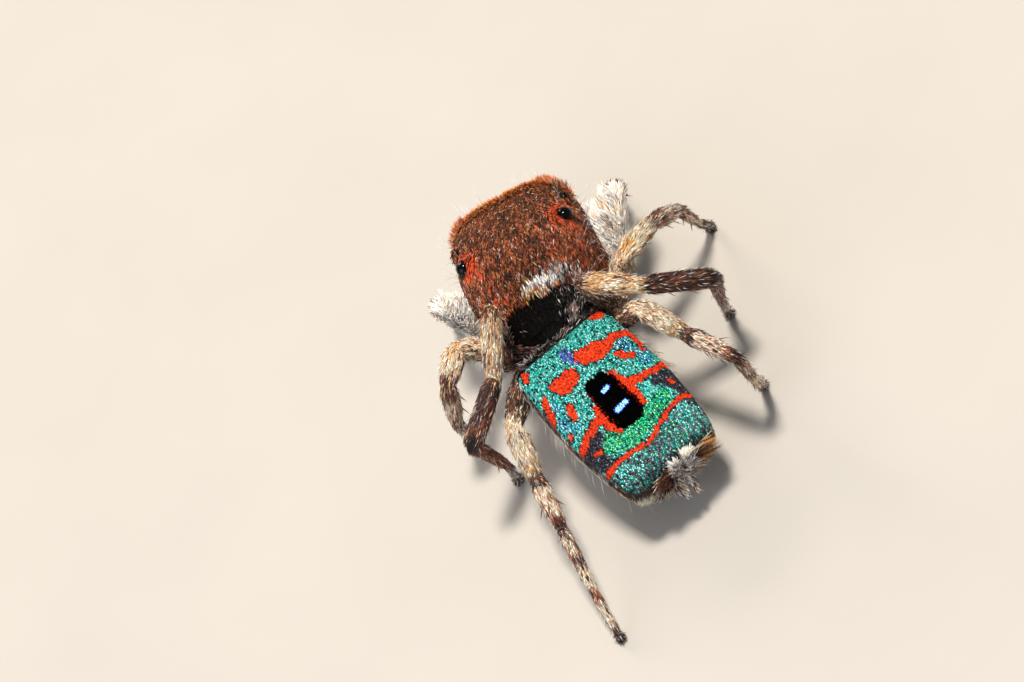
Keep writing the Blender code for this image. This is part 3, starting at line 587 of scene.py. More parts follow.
class Limb(Surface):
    """A round limb along a bent path, narrower at its joints."""

    STATIONS = 420
    # Reach of the smoothing at a bend, of the pinch at a joint and of the rounded ends
    REACH = 0.05
    PINCH = 0.10

    def __init__(self, path, profiles, upward):
        path = np.asarray(path, float)
        lengths = np.linalg.norm(np.diff(path, axis=0), axis=1)
        ends = np.concatenate(([0], np.cumsum(lengths)))
        radii = [
            (ends[i] + share * lengths[i], radius)
            for i, profile in enumerate(profiles) for share, radius in profile
        ]
        radii.append((ends[-1], profiles[-1][-1][1]))
        places, radii = np.array(radii).T
        far = np.linspace(0, ends[-1], self.STATIONS)
        centres = np.stack([np.interp(far, ends, path[:, k]) for k in range(3)], axis=1)
        self.centres = soften(centres, self.REACH / ends[-1])
        radius = np.interp(far, places, radii)
        radius = soften(radius[:, None], self.REACH / ends[-1])[:, 0]
        for end in ends[1:-1]:
            radius = radius * (1 - self.PINCH * np.exp(-((far - end) / self.REACH) ** 2))
        close = (1 - np.minimum(far, ends[-1] - far) / self.REACH).clip(0)
        self.radius = (radius - COAT_DEPTH) * np.sqrt(np.clip(1 - close ** 2, 0.002, 1))
        self.lengths_along = np.interp(far, ends, np.arange(len(ends)))
        self.length = ends[-1]
        self.carry_frame(np.asarray(upward, float))

    def carry_frame(self, upward):
        """Carry an upward direction along the limb without twisting it."""
        ways = unit(np.gradient(self.centres, axis=0))
        tops = np.zeros_like(ways)
        for index, way in enumerate(ways):
            upward = upward - way * (upward @ way)
            upward = upward / np.linalg.norm(upward)
            tops[index] = upward
        self.ways = ways
        self.tops = tops
        self.sides = np.cross(ways, tops)

    def read(self, rows, share):
        """Read a row for each share of the length."""
        place = np.clip(share, 0, 1) * (self.STATIONS - 1)
        index = np.minimum(place.astype(int), self.STATIONS - 2)
        part = (place - index).reshape((-1,) + (1,) * (rows.ndim - 1))
        return rows[index] * (1 - part) + rows[index + 1] * part

    def middle(self, share):
        """Return the centre line's point at each share."""
        return self.read(self.centres, share)

    def place(self, share, turn):
        """Return surface points; a quarter turn is the limb's upper side."""
        radius = self.read(self.radius, share)[:, None]
        side = unit(self.read(self.sides, share))
        top = unit(self.read(self.tops, share))
        return self.middle(share) + radius * (np.cos(turn)[:, None] * side + np.sin(turn)[:, None] * top)

    def lengths_at(self, share):
        """Return how many lengths of the limb lie before each share."""
        return self.read(self.lengths_along, share)


def soften(rows, share):
    """Average the rows over a short stretch, twice, and keep the ends."""
    reach = max(1, round(share * len(rows)))
    kernel = np.ones(2 * reach + 1) / (2 * reach + 1)
    for _ in range(2):
        padded = np.concatenate((
            2 * rows[:1] - rows[reach:0:-1], rows, 2 * rows[-1:] - rows[-2:-reach - 2:-1]))
        rows = np.stack([np.convolve(padded[:, k], kernel, "valid") for k in range(rows.shape[1])], axis=1)
    return rows


# Materials
def add_node(tree, kind, settings=None, links=None, **values):
    """Add a node with its settings, input values and links from other sockets."""
    node = tree.nodes.new(kind)
    for name, value in (settings or {}).items():
        setattr(node, name, value)
    for name, value in values.items():
        node.inputs[name.replace("_", " ")].default_value = value
    for name, source in (links or {}).items():
        tree.links.new(source, node.inputs[name])
    return node


def pattern(tree, size_mm):
    """Return a noise value whose blotches are about this many millimetres across."""
    place = add_node(tree, "ShaderNodeTexCoord").outputs["Object"]
    scaled = add_node(tree, "ShaderNodeVectorMath", {"operation": "MULTIPLY"}, {"Vector": place})
    scaled.inputs[1].default_value = [1 / (size_mm * METRES_PER_MM)] * 3
    noise = add_node(
        tree, "ShaderNodeTexNoise", None, {"Vector": scaled.outputs[0]},
        Scale=1.0, Detail=2.0, Roughness=0.6)
    return noise.outputs["Fac"]


def make_finish(name, roughness, specular=0.5, metallic=0.0, grain_mm=0.02, contrast=0.25, bump_mm=0.0,
                rough_spread=0.0, colour=None, painted_glow=0.0):
    """Make one finish: the markings' tint, shaded by a grain, with its own gloss and bump."""
    material = bpy.data.materials.new(name)
    material.use_nodes = True
    tree = material.node_tree
    shader = tree.nodes["Principled BSDF"]
    grain = pattern(tree, grain_mm)
    light = add_node(
        tree, "ShaderNodeMapRange", None, {"Value": grain},
        From_Min=0.3, From_Max=0.7, To_Min=1 - contrast, To_Max=1 + contrast)
    if colour is None:
        tint = add_node(tree, "ShaderNodeVertexColor", {"layer_name": "Tint"}).outputs["Color"]
    else:
        tint = add_node(tree, "ShaderNodeRGB").outputs["Color"]
        tint.default_value = (*linear(colour), 1.0)
    shaded = add_node(
        tree, "ShaderNodeVectorMath", {"operation": "SCALE"},
        {"Vector": tint, "Scale": light.outputs["Result"]})
    tree.links.new(shaded.outputs[0], shader.inputs["Base Color"])
    for socket, value in (
        ("Roughness", roughness), ("Metallic", metallic), ("IOR", CHITIN_IOR),
        ("Specular IOR Level", specular), ("Emission Strength", painted_glow),
    ):
        shader.inputs[socket].default_value = value
    if rough_spread:
        rough = add_node(
            tree, "ShaderNodeMapRange", None, {"Value": grain},
            From_Min=0.3, From_Max=0.7, To_Min=roughness - rough_spread, To_Max=roughness + rough_spread)
        tree.links.new(rough.outputs["Result"], shader.inputs["Roughness"])
    # A painted glow in the tint's own colour stands in for the light that the scales throw back
    if painted_glow:
        tree.links.new(shaded.outputs[0], shader.inputs["Emission Color"])
    if bump_mm:
        bump = add_node(
            tree, "ShaderNodeBump", None, {"Height": grain}, Strength=1.0, Distance=bump_mm * METRES_PER_MM)
        tree.links.new(bump.outputs["Normal"], shader.inputs["Normal"])
    return material


CHITIN_IOR = 1.5
FINISH_SETTINGS = {
    # Bare chitin is smooth and horny, with pits two hundredths of a millimetre across
    "chitin": dict(roughness=0.40, contrast=0.3, bump_mm=0.004, rough_spread=0.1),
    # Chitin under a dense coat is dull and pitted by the hairs' sockets
    "haired_chitin": dict(roughness=0.85, specular=0.10, grain_mm=0.03, contrast=0.35, bump_mm=0.004),
    # The lens is clear chitin over a black cup, so it is nearly black and mirror bright
    "lens": dict(roughness=0.05, specular=0.18, grain_mm=0.08, contrast=0.5, rough_spread=0.01,
                 colour="#020203"),
    # Flat scales that shine by their thin layers, like foil with a faint grain
    "foil_scales": dict(roughness=0.26, metallic=0.72, grain_mm=0.012, contrast=0.3, rough_spread=0.08),
    # Pigmented scales, dull and even
    "pigment_scales": dict(roughness=0.60, specular=0.20, grain_mm=0.015, contrast=0.10, rough_spread=0.08),
    # Upright black scales that trap the light, so they hardly shine at all
    "velvet_scales": dict(roughness=0.95, specular=0.02, contrast=0.3),
    # Lens-like scales that throw back a cold light, which a faint glow stands for
    "mirror_scales": dict(roughness=0.35, specular=0.4, contrast=0.10, painted_glow=0.45),
    # Hair is thin chitin, satin along its length
    "hair": dict(roughness=0.36, rough_spread=0.08),
    # Dark hair on the slope behind the head, without shine
    "dull_hair": dict(roughness=0.80, specular=0.10, contrast=0.2),
    # Bristles are stiffer and glossier
    "bristle": dict(roughness=0.32, grain_mm=0.03, rough_spread=0.06),
}
FINISHES = {name: make_finish(name, **settings) for name, settings in FINISH_SETTINGS.items()}


# Meshes
def make_piece(name, points, faces, tints, finish, nodes=(), places=None):
    """Make a piece from points in millimetres, with its tints and finish."""
    corners = points[faces]
    volume = np.sum(corners[:, 0] * np.cross(corners[:, 1], corners[:, 2]))
    if volume < 0:
        faces = faces[:, ::-1]
    mesh = bpy.data.meshes.new(name)
    mesh.vertices.add(len(points))
    mesh.vertices.foreach_set("co", (points * METRES_PER_MM).ravel())
    mesh.loops.add(faces.size)
    mesh.loops.foreach_set("vertex_index", faces.ravel())
    mesh.polygons.add(len(faces))
    mesh.polygons.foreach_set("loop_start", np.arange(0, faces.size, 3))
    mesh.polygons.foreach_set("use_smooth", np.ones(len(faces), bool))
    mesh.update(calc_edges=True)
    tint = mesh.color_attributes.new("Tint", "FLOAT_COLOR", "POINT")
    rgba = np.ones((len(points), 4))
    rgba[:, :3] = tints
    tint.data.foreach_set("color", rgba.ravel())
    if places is not None:
        layer = mesh.uv_layers.new(name="OFBake")
        layer.data.foreach_set("uv", places[faces.ravel()].ravel())
    mesh.materials.append(FINISHES[finish])
    piece = bpy.data.objects.new(name, mesh)
    bpy.context.scene.collection.objects.link(piece)
    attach(piece, "root")
    if nodes:
        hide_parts(*nodes)
    return piece


def make_skin(name, surface, rows, sides, tint_of, finish, nodes=()):
    """Make the fine skin of a surface, tinted by a function of its points."""
    points, faces = surface.skin(rows, sides)
    points[:, 2] = np.maximum(points[:, 2], FLOOR_LIFT)
    return make_piece(name, points, faces, tint_of(points), finish, nodes)


def plain(colour, shade):
    """Return a tint that is the same all over a skin."""
    return lambda points: LINEAR[colour] * shade


def clumps(points, share):
    """Gather points round a random share of them and return the number of each one's clump."""
    centres = RNG.choice(len(points), max(1, int(len(points) * share)), replace=False)
    tree = KDTree(len(centres))
    for index, centre in enumerate(centres):
        tree.insert(points[centre], index)
    tree.balance()
    return np.array([tree.find(point)[1] for point in points])


def mix_tints(names, clump=None):
    """Draw one colour for each root from the mix that is named for it.

    Roots of one clump mostly draw alike, so that the coat looks streaked.
    """
    names = np.asarray(names)
    tints = np.zeros((len(names), 3))
    draw = RNG.random(len(names))
    glow = RNG.uniform(0.8, 1.2, len(names))
    if clump is not None:
        alike = RNG.random(len(names)) < CLUMP_SHARE
        draw = np.where(alike, RNG.random(clump.max() + 1)[clump], draw)
        glow = glow * RNG.uniform(0.75, 1.2, clump.max() + 1)[clump]
    for name in np.unique(names):
        rows = np.flatnonzero(names == name)
        colours, shares = zip(*MIXES[name].items())
        steps = np.cumsum(shares) / sum(shares)
        picks = np.searchsorted(steps, draw[rows]).clip(0, len(colours) - 1)
        tints[rows] = np.stack([LINEAR[c] for c in colours])[picks]
    return tints * glow[:, None]


def mean_tints(names):
    """Return the mixes' mean colours, for the skin under the coat."""
    names = np.asarray(names)
    tints = np.zeros((len(names), 3))
    for name in np.unique(names):
        colours, shares = zip(*MIXES[name].items())
        mean = sum(LINEAR[c] * s for c, s in zip(colours, shares)) / sum(shares)
        tints[names == name] = mean
    return tints


# Coats
class Roots:
    """Where the hairs of a coat grow, with their normals and places on the surface."""

    def __init__(self, share, turn, point, normal, along=None):
        self.share = share
        self.turn = turn
        self.point = point
        self.normal = normal
        self.along = along

    def __len__(self):
        return len(self.share)

    def pick(self, mask):
        """Return the roots within the mask."""
        return Roots(*(rows[mask] for rows in (self.share, self.turn, self.point, self.normal, self.along)))

    def places(self):
        """Return each root's place on an unwrap of the surface."""
        places = np.stack((self.share, (self.turn % FULL_TURN) / FULL_TURN), axis=1)
        return places * (1 - 2 * UNWRAP_MARGIN) + UNWRAP_MARGIN


def sow(surface, spacing, shares=(0.0, 1.0), keep=None):
    """Spread roots evenly over a surface, one in each small cube that it crosses."""
    share, turn = surface.scatter(*shares, TRIES_PER_CUBE / spacing ** 2)
    cubes = np.floor(surface.place(share, turn) / spacing).astype(np.int64)
    _, first = np.unique(cubes @ CUBE_KEY, return_index=True)
    first.sort()
    roots = Roots(share[first], turn[first], *surface.frame(share[first], turn[first]))
    return roots if keep is None else roots.pick(keep(roots.point))


def set_roots(points, normals):
    """Return roots set one by one, in a row on the unwrap."""
    count = len(points)
    share = (np.arange(count) + 0.5) / count
    return Roots(share, np.full(count, math.pi), np.array(points), np.array(normals))


TRIES_PER_CUBE = 6
# Turns a cube's three numbers into one
CUBE_KEY = np.array((1, 20011, 400440121))
# Width at each ring of a hair, from its root, as a share of its full width
SHAPES = {
    "scale": (0.50, 1.00),
    "hair": (0.90, 1.00, 0.62),
    "plume": (0.55, 1.00, 0.90, 0.55),
    "bristle": (1.00, 0.72, 0.45),
}
# Stiff bristles, spines and claws share a finish and a shape
BRISTLE = {"finish": "bristle", "shape": "bristle"}


def grow(name, roots, lie, length, width, tints, slot, finish="hair", shape="hair", thickness=0.4,
         lift=0.2, bend=0.5, bank=0.0, root_shade=0.55, sink=0.008):
    """Grow one flat tapered element from each root and join them into one piece.

    lie is the way each element runs, lift how far it leans off the surface at
    its root, and bend how much of that lean it loses by its tip. bank turns
    each element a little about its own length, so that they glint apart.
    The tint is painted darker at each element's root, as shade from the coat
    around it, and a little lighter than its tint at the tip.
    """
    count = len(roots)
    tapers = SHAPES[shape]
    length, width, lift, root_shade = (column(value, count) for value in (length, width, lift, root_shade))
    lie = unit(lie - roots.normal * np.sum(lie * roots.normal, axis=1, keepdims=True))
    across = unit(np.cross(roots.normal, lie))
    across = unit(across + roots.normal * RNG.uniform(-bank, bank, (count, 1)))
    centre = roots.point - roots.normal * sink
    rings = []
    for index, taper in enumerate(tapers):
        fade = 1 - bend * index / len(tapers)
        way = unit(lie + roots.normal * lift * fade)
        top = unit(np.cross(way, across))
        top = top * np.sign(np.sum(top * roots.normal, axis=1, keepdims=True))
        half = across * width * taper / 2
        ridge = top * width * thickness * taper
        rings.append((centre + half, centre + ridge, centre - half))
        centre = centre + way * length / len(tapers)
    rows = [corner for ring in rings for corner in ring] + [centre]
    per_element = len(rows)
    points = np.stack(rows, axis=1).reshape(-1, 3)
    points[:, 2] = np.maximum(points[:, 2], FLOOR_LIFT)
    one = [(0, 1, 2)]
    for ring in range(len(tapers) - 1):
        for side in range(3):
            a, b = 3 * ring + side, 3 * ring + (side + 1) % 3
            one += [(a, a + 3, b), (b, a + 3, b + 3)]
    last = 3 * (len(tapers) - 1)
    for side in range(3):
        one.append((last + side, per_element - 1, last + (side + 1) % 3))
    faces = (np.arange(count)[:, None, None] * per_element + np.array(one)).reshape(-1, 3)
    steps = np.array([i // 3 for i in range(per_element - 1)] + [len(tapers)]) / len(tapers)
    # Painted shade: each element is darker at its root, where the coat shades it, and a little lighter than
    # its tint at the tip
    shade = root_shade + (1.08 - root_shade) * steps
    tinted = (np.clip(tints, 0, 1)[:, None, :] * shade[:, :, None]).reshape(-1, 3)
    offsets = np.stack(([((i % 3) - 1) / 2 for i in range(per_element - 1)] + [0.0], steps - 0.5), axis=1)
    places = (roots.places()[:, None, :] + offsets[None] * PATCH).reshape(-1, 2)
    return make_piece(name, points, faces, tinted, finish, places=places)


def coat(name, roots, lie, mix, slot, ruffled, length, width, clump=0, **build):
    """Grow a coat with a ruffled lie, and with lengths and widths drawn between bounds.

    clump is the share of the roots that others gather round, to draw one colour.
    """
    count = len(roots)
    lie = ruffle(roots, lie, ruffled)
    length, width = (
        spread(count, *size) if isinstance(size, tuple) else size for size in (length, width))
    clump = clumps(roots.point, clump) if clump else None
    tints = mix_tints(np.broadcast_to(mix, count), clump)
    grow(name, roots, lie, length, width, tints, slot, **build)


def ruffle(roots, lie, amount):
    """Return the lie, turned a little at random along the surface."""
    lie = unit(lie)
    return lie + np.cross(roots.normal, lie) * RNG.normal(0, amount, (len(roots), 1))


def drift(points, size, seed):
    """Return a smooth value between -1 and 1 that wanders over this many millimetres."""
    draw = np.random.default_rng(seed)
    total = np.zeros(len(points))
    for _ in range(5):
        way = draw.normal(0, 1, 3) / size
        total += np.sin(points @ way * 2.2 + draw.uniform(0, FULL_TURN))
    return total / 3


def spread(count, low, high):
    """Return random values between two bounds."""
    return RNG.uniform(low, high, count)


# Markings on the abdomen
def chain_depth(places, chain):
    """Return how far places lie outside a chain of round spots; inside is negative."""
    best = np.full(len(places), 9.0)
    for start, end in zip(chain, chain[1:]):
        first = np.array(start[:2])
        along = np.array(end[:2]) - first
        share = np.clip((places - first) @ along / max(along @ along, 1e-9), 0, 1)
        far = np.linalg.norm(places - first - share[:, None] * along, axis=1)
        best = np.minimum(best, far - (start[2] + (end[2] - start[2]) * share))
    return best


def plate_zones(points):
    """Return the name of the mix on each point of the abdomen."""
    forward, right, _ = ABDOMEN.read(points).T
    places = np.stack((-forward, right), axis=1)
    wobble = drift(points, 0.05, 3) * EDGE_WOBBLE + drift(points, 0.02, 4) * EDGE_WOBBLE * 0.5
    behind = -forward
    zones = np.full(len(points), "plate_rest", dtype=object)
    draw = RNG.random(len(points))
    green = chain_depth(places, GREEN_CHAIN) + wobble
    zones[green < 0.02 * draw] = "plate_green"
    for chain in SKY_CHAINS:
        zones[chain_depth(places, chain) < 0.06 * draw] = "plate_sky"
    zones[chain_depth(places, VIOLET_CHAIN) < 0.03 * draw] = "plate_violet"
    after_band = behind > np.interp(right, *REAR_EDGE)
    zones[after_band] = "plate_sparse"
    sides = np.clip((np.abs(right - 0.05) - 0.20) / REAR_DOTS, 0.05, 1)
    sides = sides * np.interp(behind, (1.75, 1.95), (1, 0.2))
    zones[after_band & (draw < sides)] = "plate_dots"
    fade = np.interp(behind, REAR_FADE, (0.0, 1.0)) + 0.8 * np.clip(np.abs(right) - 0.58, 0, 1) / 0.12
    zones[after_band & (RNG.random(len(points)) < fade)] = "plate_slate"
    for chain in SLATE_CHAINS:
        depth = chain_depth(places, chain)
        zones[(depth < 0) | (depth < 0.05 * draw)] = "plate_slate"
    red = np.min([chain_depth(places, chain) for chain in RED_CHAINS], axis=0) + wobble
    zones[red < RED_OUTLINE] = "plate_edge"
    zones[red < 0] = "plate_red"
    velvet = square_depth(places, VELVET_CHAIN) + wobble * 0.5
    zones[velvet < 0] = "plate_velvet"
    zones[within(velvet, -0.05 * draw, 0) & within(behind, 0.72, 1.25)] = "plate_ember"
    for chain in SPOT_CHAINS:
        depth = chain_depth(places, chain)
        zones[depth < SPOT_RIM] = "plate_spot_rim"
        zones[depth < 0] = "plate_spot"
    return zones


def square_depth(places, chain):
    """Return how far places lie outside a rounded box along a two-point chain."""
    (start, middle, width), (end, _, end_width) = chain
    centre = (start + end) / 2
    half_length = (end - start) / 2 + VELVET_ENDS
    half_width = np.interp(places[:, 0], (start, end), (width, end_width))
    reach = np.abs(places - np.array((centre, middle)))
    out_along = reach[:, 0] - (half_length - VELVET_CORNER)
    out_across = reach[:, 1] - (half_width - VELVET_CORNER)
    outside = np.hypot(np.maximum(out_along, 0), np.maximum(out_across, 0))
    inside = np.minimum(np.maximum(out_along, out_across), 0)
    return outside + inside - VELVET_CORNER


def abdomen_tints(points):
    """Return the skin's tint: the markings on the plate, grey below and black in front."""
    forward, _, up = ABDOMEN.read(points).T
    tints = mean_tints(plate_zones(points)) * UNDER_COAT
    below = np.clip((-PLATE_EDGE_DROP * 0.9 - up) / 0.06, 0, 1)[:, None]
    flank = LINEAR["grey"] * 0.55
    front = np.clip((0.02 + forward) / 0.04, 0, 1)[:, None]
    tints = tints * (1 - below) + flank * below
    return tints * (1 - front) + LINEAR["black"] * front


# Markings on the carapace
def crown_zones(points):
    """Return the name of the mix on each point of the front body."""
    forward, right, up = PROSOMA.read(points).T
    wobble = drift(points, 0.12, 8) * 0.04
    draw = RNG.random(len(points))
    zones = np.full(len(points), "crown", dtype=object)
    zones[(draw < np.interp(forward + 0.5 * wobble, (1.15, 1.55), (1.0, 0.0)))] = "crown_rear"
    zones[drift(points, 0.16, 9) + 0.5 * (draw - 0.5) > 0.75] = "crown_dark"
    aside = np.abs(right) - SIDE_EDGE[0] + wobble + 0.12 * draw
    zones[(aside > 0) & (forward < SIDE_EDGE[1] + wobble)] = "crown_side"
    zones[(np.abs(right) > CHEEK_EDGE[0]) & (up < CHEEK_EDGE[1])] = "cheek"
    zones[(forward > BROW_EDGE[0] + 0.14 * draw) & (up > BROW_EDGE[1])] = "brow"
    place, _, radius = EYES["eye_rear_side"]
    for sign in (1, -1):
        far = np.linalg.norm(points - PROSOMA.at(place[0] + 0.05, sign * place[1], place[2]), axis=1)
        inner = np.abs(right) < place[1] + 0.06
        zones[(far < radius + 0.08 + 0.07 * draw) & inner] = "eye_ring"
    paint_patches(zones, PATCHES_UNDER_SLOPE, forward, right, draw)
    slope = forward < SLOPE_EDGE[0] + 0.5 * wobble + 0.05 * np.abs(right)
    zones[slope & (np.abs(right) < SLOPE_EDGE[1])] = "slope"
    zones[slope & (draw < np.interp(right, (0.12, 0.40), (0.01, 0.50)))] = "slope_grey"
    paint_patches(zones, PATCHES_OVER_SLOPE, forward, right, draw)
    zones[up < -0.10] = "dark_fuzz"
    return zones


def paint_patches(zones, patches, forward, right, draw):
    """Name the zones of some slanted oval patches with blurred edges."""
    for name, ahead, slant, aside, half_length, half_width, blur, reach in patches:
        far = np.hypot((forward - ahead + slant * right) / half_length, (right - aside) / half_width)
        zones[far + draw * blur < reach] = name


def crown_tints(points):
    """Return the skin's tint of the front body."""
    zones = crown_zones(points)
    return mean_tints(zones) * np.where(zones == "brow", UNDER_BROW, UNDER_COAT)[:, None]


def clear_of_eyes(points, gap):
    """Tell which points are this far from every eye."""
    free = np.ones(len(points), bool)
    for _, centre, radius, _ in eye_places():
        free &= np.linalg.norm(points - centre, axis=1) > radius + gap
    return free


def eye_places():
    """Return each eye's node name, centre, radius and the way it looks."""
    places = []
    for stem, (place, gaze, radius) in EYES.items():
        for side, sign in SIDES:
            centre = PROSOMA.at(place[0], sign * place[1], place[2])
            look = PROSOMA.at(gaze[0], sign * gaze[1], gaze[2]) - PROSOMA.origin
            places.append((f"{stem}_{side}", centre, radius, unit(look)))
    return places


# Paths and colours of the legs
def direction(side, heading, elevation):
    """Return the direction of a leg's length from its two angles."""
    sign = -1 if side == "right" else 1
    heading = math.radians(heading) * sign
    elevation = math.radians(elevation)
    level = math.cos(elevation)
    return np.array((math.sin(heading) * level, -math.cos(heading) * level, math.sin(elevation)))


def leg_joints(side, number):
    """Return the leg's joints from the coxa's root to the tip on the floor."""
    sign = 1 if side == "right" else -1
    joints = [
        PROSOMA.at(forward, sign * right, up)
        for forward, right, up in (COXA_ROOTS[number], HIPS[number])
    ]
    lengths = SEGMENT_LENGTHS[number]
    angles = LEG_ANGLES[(side, number)]
    for length, (heading, elevation) in zip(lengths, angles[:-1]):
        joints.append(joints[-1] + length * direction(side, heading, elevation))
    drop = (joints[-1][2] - TIP_HEIGHT) / lengths[-1]
    elevation = -math.degrees(math.asin(min(drop, 0.98)))
    joints.append(joints[-1] + lengths[-1] * direction(side, angles[-1], elevation))
    return joints


def leg_zones(limb, share, number):
    """Return the name of the mix at each share of a leg."""
    lengths = limb.lengths_at(share) + RNG.normal(0, 0.03, len(share))
    ends, names = zip(*LEG_ZONES[number].items())
    picks = np.searchsorted(ends, lengths).clip(0, len(names) - 1)
    return np.array(names, dtype=object)[picks]


def nearest_share(limb, points):
    """Return the share of the limb's length nearest to each point."""
    far = np.linalg.norm(points[:, None, :] - limb.centres[None, ::4], axis=2)
    return np.argmin(far, axis=1) * 4 / (limb.STATIONS - 1)


# The front body
def make_front_body():
    """Make the carapace with its coat, the eyes and the sternum."""
    carapace = Shell(
        PROSOMA, CARAPACE_SECTIONS, 1,
        lambda top, bottom: bottom + CARAPACE_WAIST * (top - bottom), CARAPACE_POWERS, (0.05, 0.02))
    for _, centre, radius, look in eye_places():
        carapace.turrets.append((centre - look * radius * TURRET_SINK, radius + TURRET_RIM))
    make_skin("carapace_skin", carapace, 190, 200, crown_tints, "haired_chitin",
              ("carapace",))
    coat_carapace(carapace)
    sternum = Shell(
        PROSOMA, STERNUM_SECTIONS, 1, lambda top, bottom: (top + bottom) / 2, STERNUM_POWERS, (0.02, 0.02))
    make_skin("sternum_skin", sternum, 50, 48, plain("dark", 0.7), "chitin", ("sternum",))
    roots = sow(sternum, 0.035)
    coat("sternum_hair", roots, -roots.along, "dark_fuzz", "dark_cuticle", ruffled=0.3, length=(0.08, 0.14),
         width=0.014, lift=0.4, bend=0.6, thickness=0.25)
    for name, centre, radius, look in eye_places():
        make_eye(name, centre, radius, look)


def coat_carapace(carapace):
    """Cover the carapace with lying hair scales, and set the longer hairs among them."""
    roots = sow(carapace, 0.0205, keep=lambda points: clear_of_eyes(points, 0.004))
    zones = crown_zones(roots.point)
    count = len(roots)
    forward, right, up = PROSOMA.read(roots.point).T
    outward = PROSOMA.right * np.sign(right)[:, None]
    lie = -PROSOMA.forward + outward * np.clip(np.abs(right) - 0.2, 0, 0.5)[:, None] * 0.5
    lie = lie - PROSOMA.up * np.clip(np.abs(right) - 0.55, 0, 1)[:, None] * 1.6
    front = np.clip((forward - 1.86) / 0.20, 0, 1)[:, None]
    lie = lie * (1 - front) + (PROSOMA.forward * 0.3 + PROSOMA.up * 0.8 + outward * 0.15) * front
    clump = clumps(np.stack((forward * CROWN_SQUEEZE, right, up), axis=1), 0.15)
    length = spread(count, 0.055, 0.090) * np.interp(forward, (0.9, 1.7), (1.80, 1.05))
    width = spread(count, 0.0125, 0.0195)
    lift = np.full(count, 0.26)
    # Painted shade at each hair's root, deepest by default and lighter in some zones
    shade = np.full(count, 0.35)
    for zone, (longer, wider, rise, dark) in CROWN_HAIR.items():
        mask = zones == zone
        shade[mask] = dark
        length[mask] *= longer
        width[mask] *= wider
        lift[mask] = rise
    turned = RNG.normal(0, 0.16, clump.max() + 1)[clump]
    lie = ruffle(roots, lie, 0.14) + np.cross(roots.normal, unit(lie)) * turned[:, None]
    tints = mix_tints(zones, clump)
    dull = zones == "slope"
    ahead = forward > CROWN_MIDDLE
    for name, mask, finish in (
        ("carapace_front_scales", ahead & ~dull, "hair"), ("carapace_rear_scales", ~ahead & ~dull, "hair"),
        ("carapace_slope_hair", dull, "dull_hair"),
    ):
        grow(name, roots.pick(mask), lie[mask], length[mask], width[mask], tints[mask], "carapace_cuticle",
             finish=finish, shape="scale", thickness=0.25, lift=lift[mask], bank=0.45, root_shade=shade[mask])
    brow_tufts(carapace)
    fuzz = sow(carapace, 0.12, keep=lambda points: clear_of_eyes(points, 0.02))
    fuzz = fuzz.pick(PROSOMA.read(fuzz.point)[:, 0] > 0.45)
    tints = mix_tints(np.where(RNG.random(len(fuzz)) < 0.6, "white_fuzz", "haze"))
    lie = ruffle(fuzz, -PROSOMA.forward, 0.4)
    grow("carapace_fuzz", fuzz, lie, spread(len(fuzz), 0.07, 0.13), 0.008, tints, "carapace_cuticle",
         lift=0.6, bend=0.6, thickness=0.5)
    rim = sow(carapace, 0.20, keep=lambda points: clear_of_eyes(points, 0.03))
    forward, right, up = PROSOMA.read(rim.point).T
    rim = rim.pick((np.abs(right) > 0.62) | (forward > 1.95))
    coat("carapace_bristles", rim, PROSOMA.up * 0.6 - PROSOMA.forward * 0.2, "white_fuzz", "carapace_cuticle",
         ruffled=0.8, length=(0.16, 0.34), width=0.007, lift=1.8, thickness=0.6, **BRISTLE)


def brow_tufts(carapace):
    """Raise a reddish tuft over each front side eye."""
    ahead, aside, above = EYES["eye_front_side"][0]

    def near(points):
        forward, right, up = PROSOMA.read(points).T
        far = np.hypot(forward - ahead + 0.06, np.abs(right) - aside + 0.02)
        return (far < 0.13) & (up > above - 0.02) & clear_of_eyes(points, 0.004)

    roots = sow(carapace, 0.014, (0.6, 1.0), near)
    outward = PROSOMA.right * np.sign(PROSOMA.read(roots.point)[:, 1])[:, None]
    lie = PROSOMA.up + outward * 0.35 + PROSOMA.forward * 0.25
    coat("brow_tufts", roots, lie, "tuft", "carapace_cuticle", ruffled=0.5, length=(0.07, 0.15),
         width=(0.010, 0.015), clump=0.2, lift=1.6, bend=0.3)


def make_eye(name, centre, radius, look):
    """Make one eye as a smooth glossy ball, most of it sunk in the head."""
    side = unit(np.cross(look, PROSOMA.up))
    top = np.cross(side, look)
    angle = np.repeat(np.linspace(0.02, math.pi - 0.02, EYE_ROWS), EYE_TURNS)
    turn = np.tile(np.arange(EYE_TURNS) * FULL_TURN / EYE_TURNS, EYE_ROWS)
    points = centre + radius * (
        np.cos(angle)[:, None] * look
        + (np.sin(angle) * np.cos(turn))[:, None] * side + (np.sin(angle) * np.sin(turn))[:, None] * top)
    hubs = np.stack((centre + look * radius, centre - look * radius))
    make_piece(f"{name}_lens", np.concatenate((points, hubs)), tube_faces(EYE_ROWS, EYE_TURNS),
               LINEAR["velvet"], "lens", (name,))


# The abdomen
def make_abdomen():
    """Make the abdomen with its scaled plate, fuzzy flanks, spinnerets and waist."""
    abdomen = Shell(
        ABDOMEN, ABDOMEN_SECTIONS, -1, lambda top, bottom: top - PLATE_EDGE_DROP, ABDOMEN_POWERS,
        (0.02, 0.02))
    make_skin("abdomen_skin", abdomen, 190, 200, abdomen_tints, "haired_chitin",
              ("abdomen",))
    coat_plate(abdomen)
    coat_flanks(abdomen)
    make_spinnerets()
    waist = Limb((PROSOMA.at(0.12, 0.0, -0.12), ABDOMEN.at(-0.10, 0.0, -0.42)),
                 (((0.0, PEDICEL_RADIUS),),), (0, 0, 1))
    make_skin("pedicel_skin", waist, 16, 32, plain("dark", 0.8), "chitin", ("pedicel",))


def plate_part(points):
    """Tell which points are on the plate and its rim."""
    forward, _, up = ABDOMEN.read(points).T
    return (up > -PLATE_EDGE_DROP * 0.95) & (forward < 0.02)


def below_plate(points):
    """Tell which points are off the plate."""
    return ~plate_part(points)


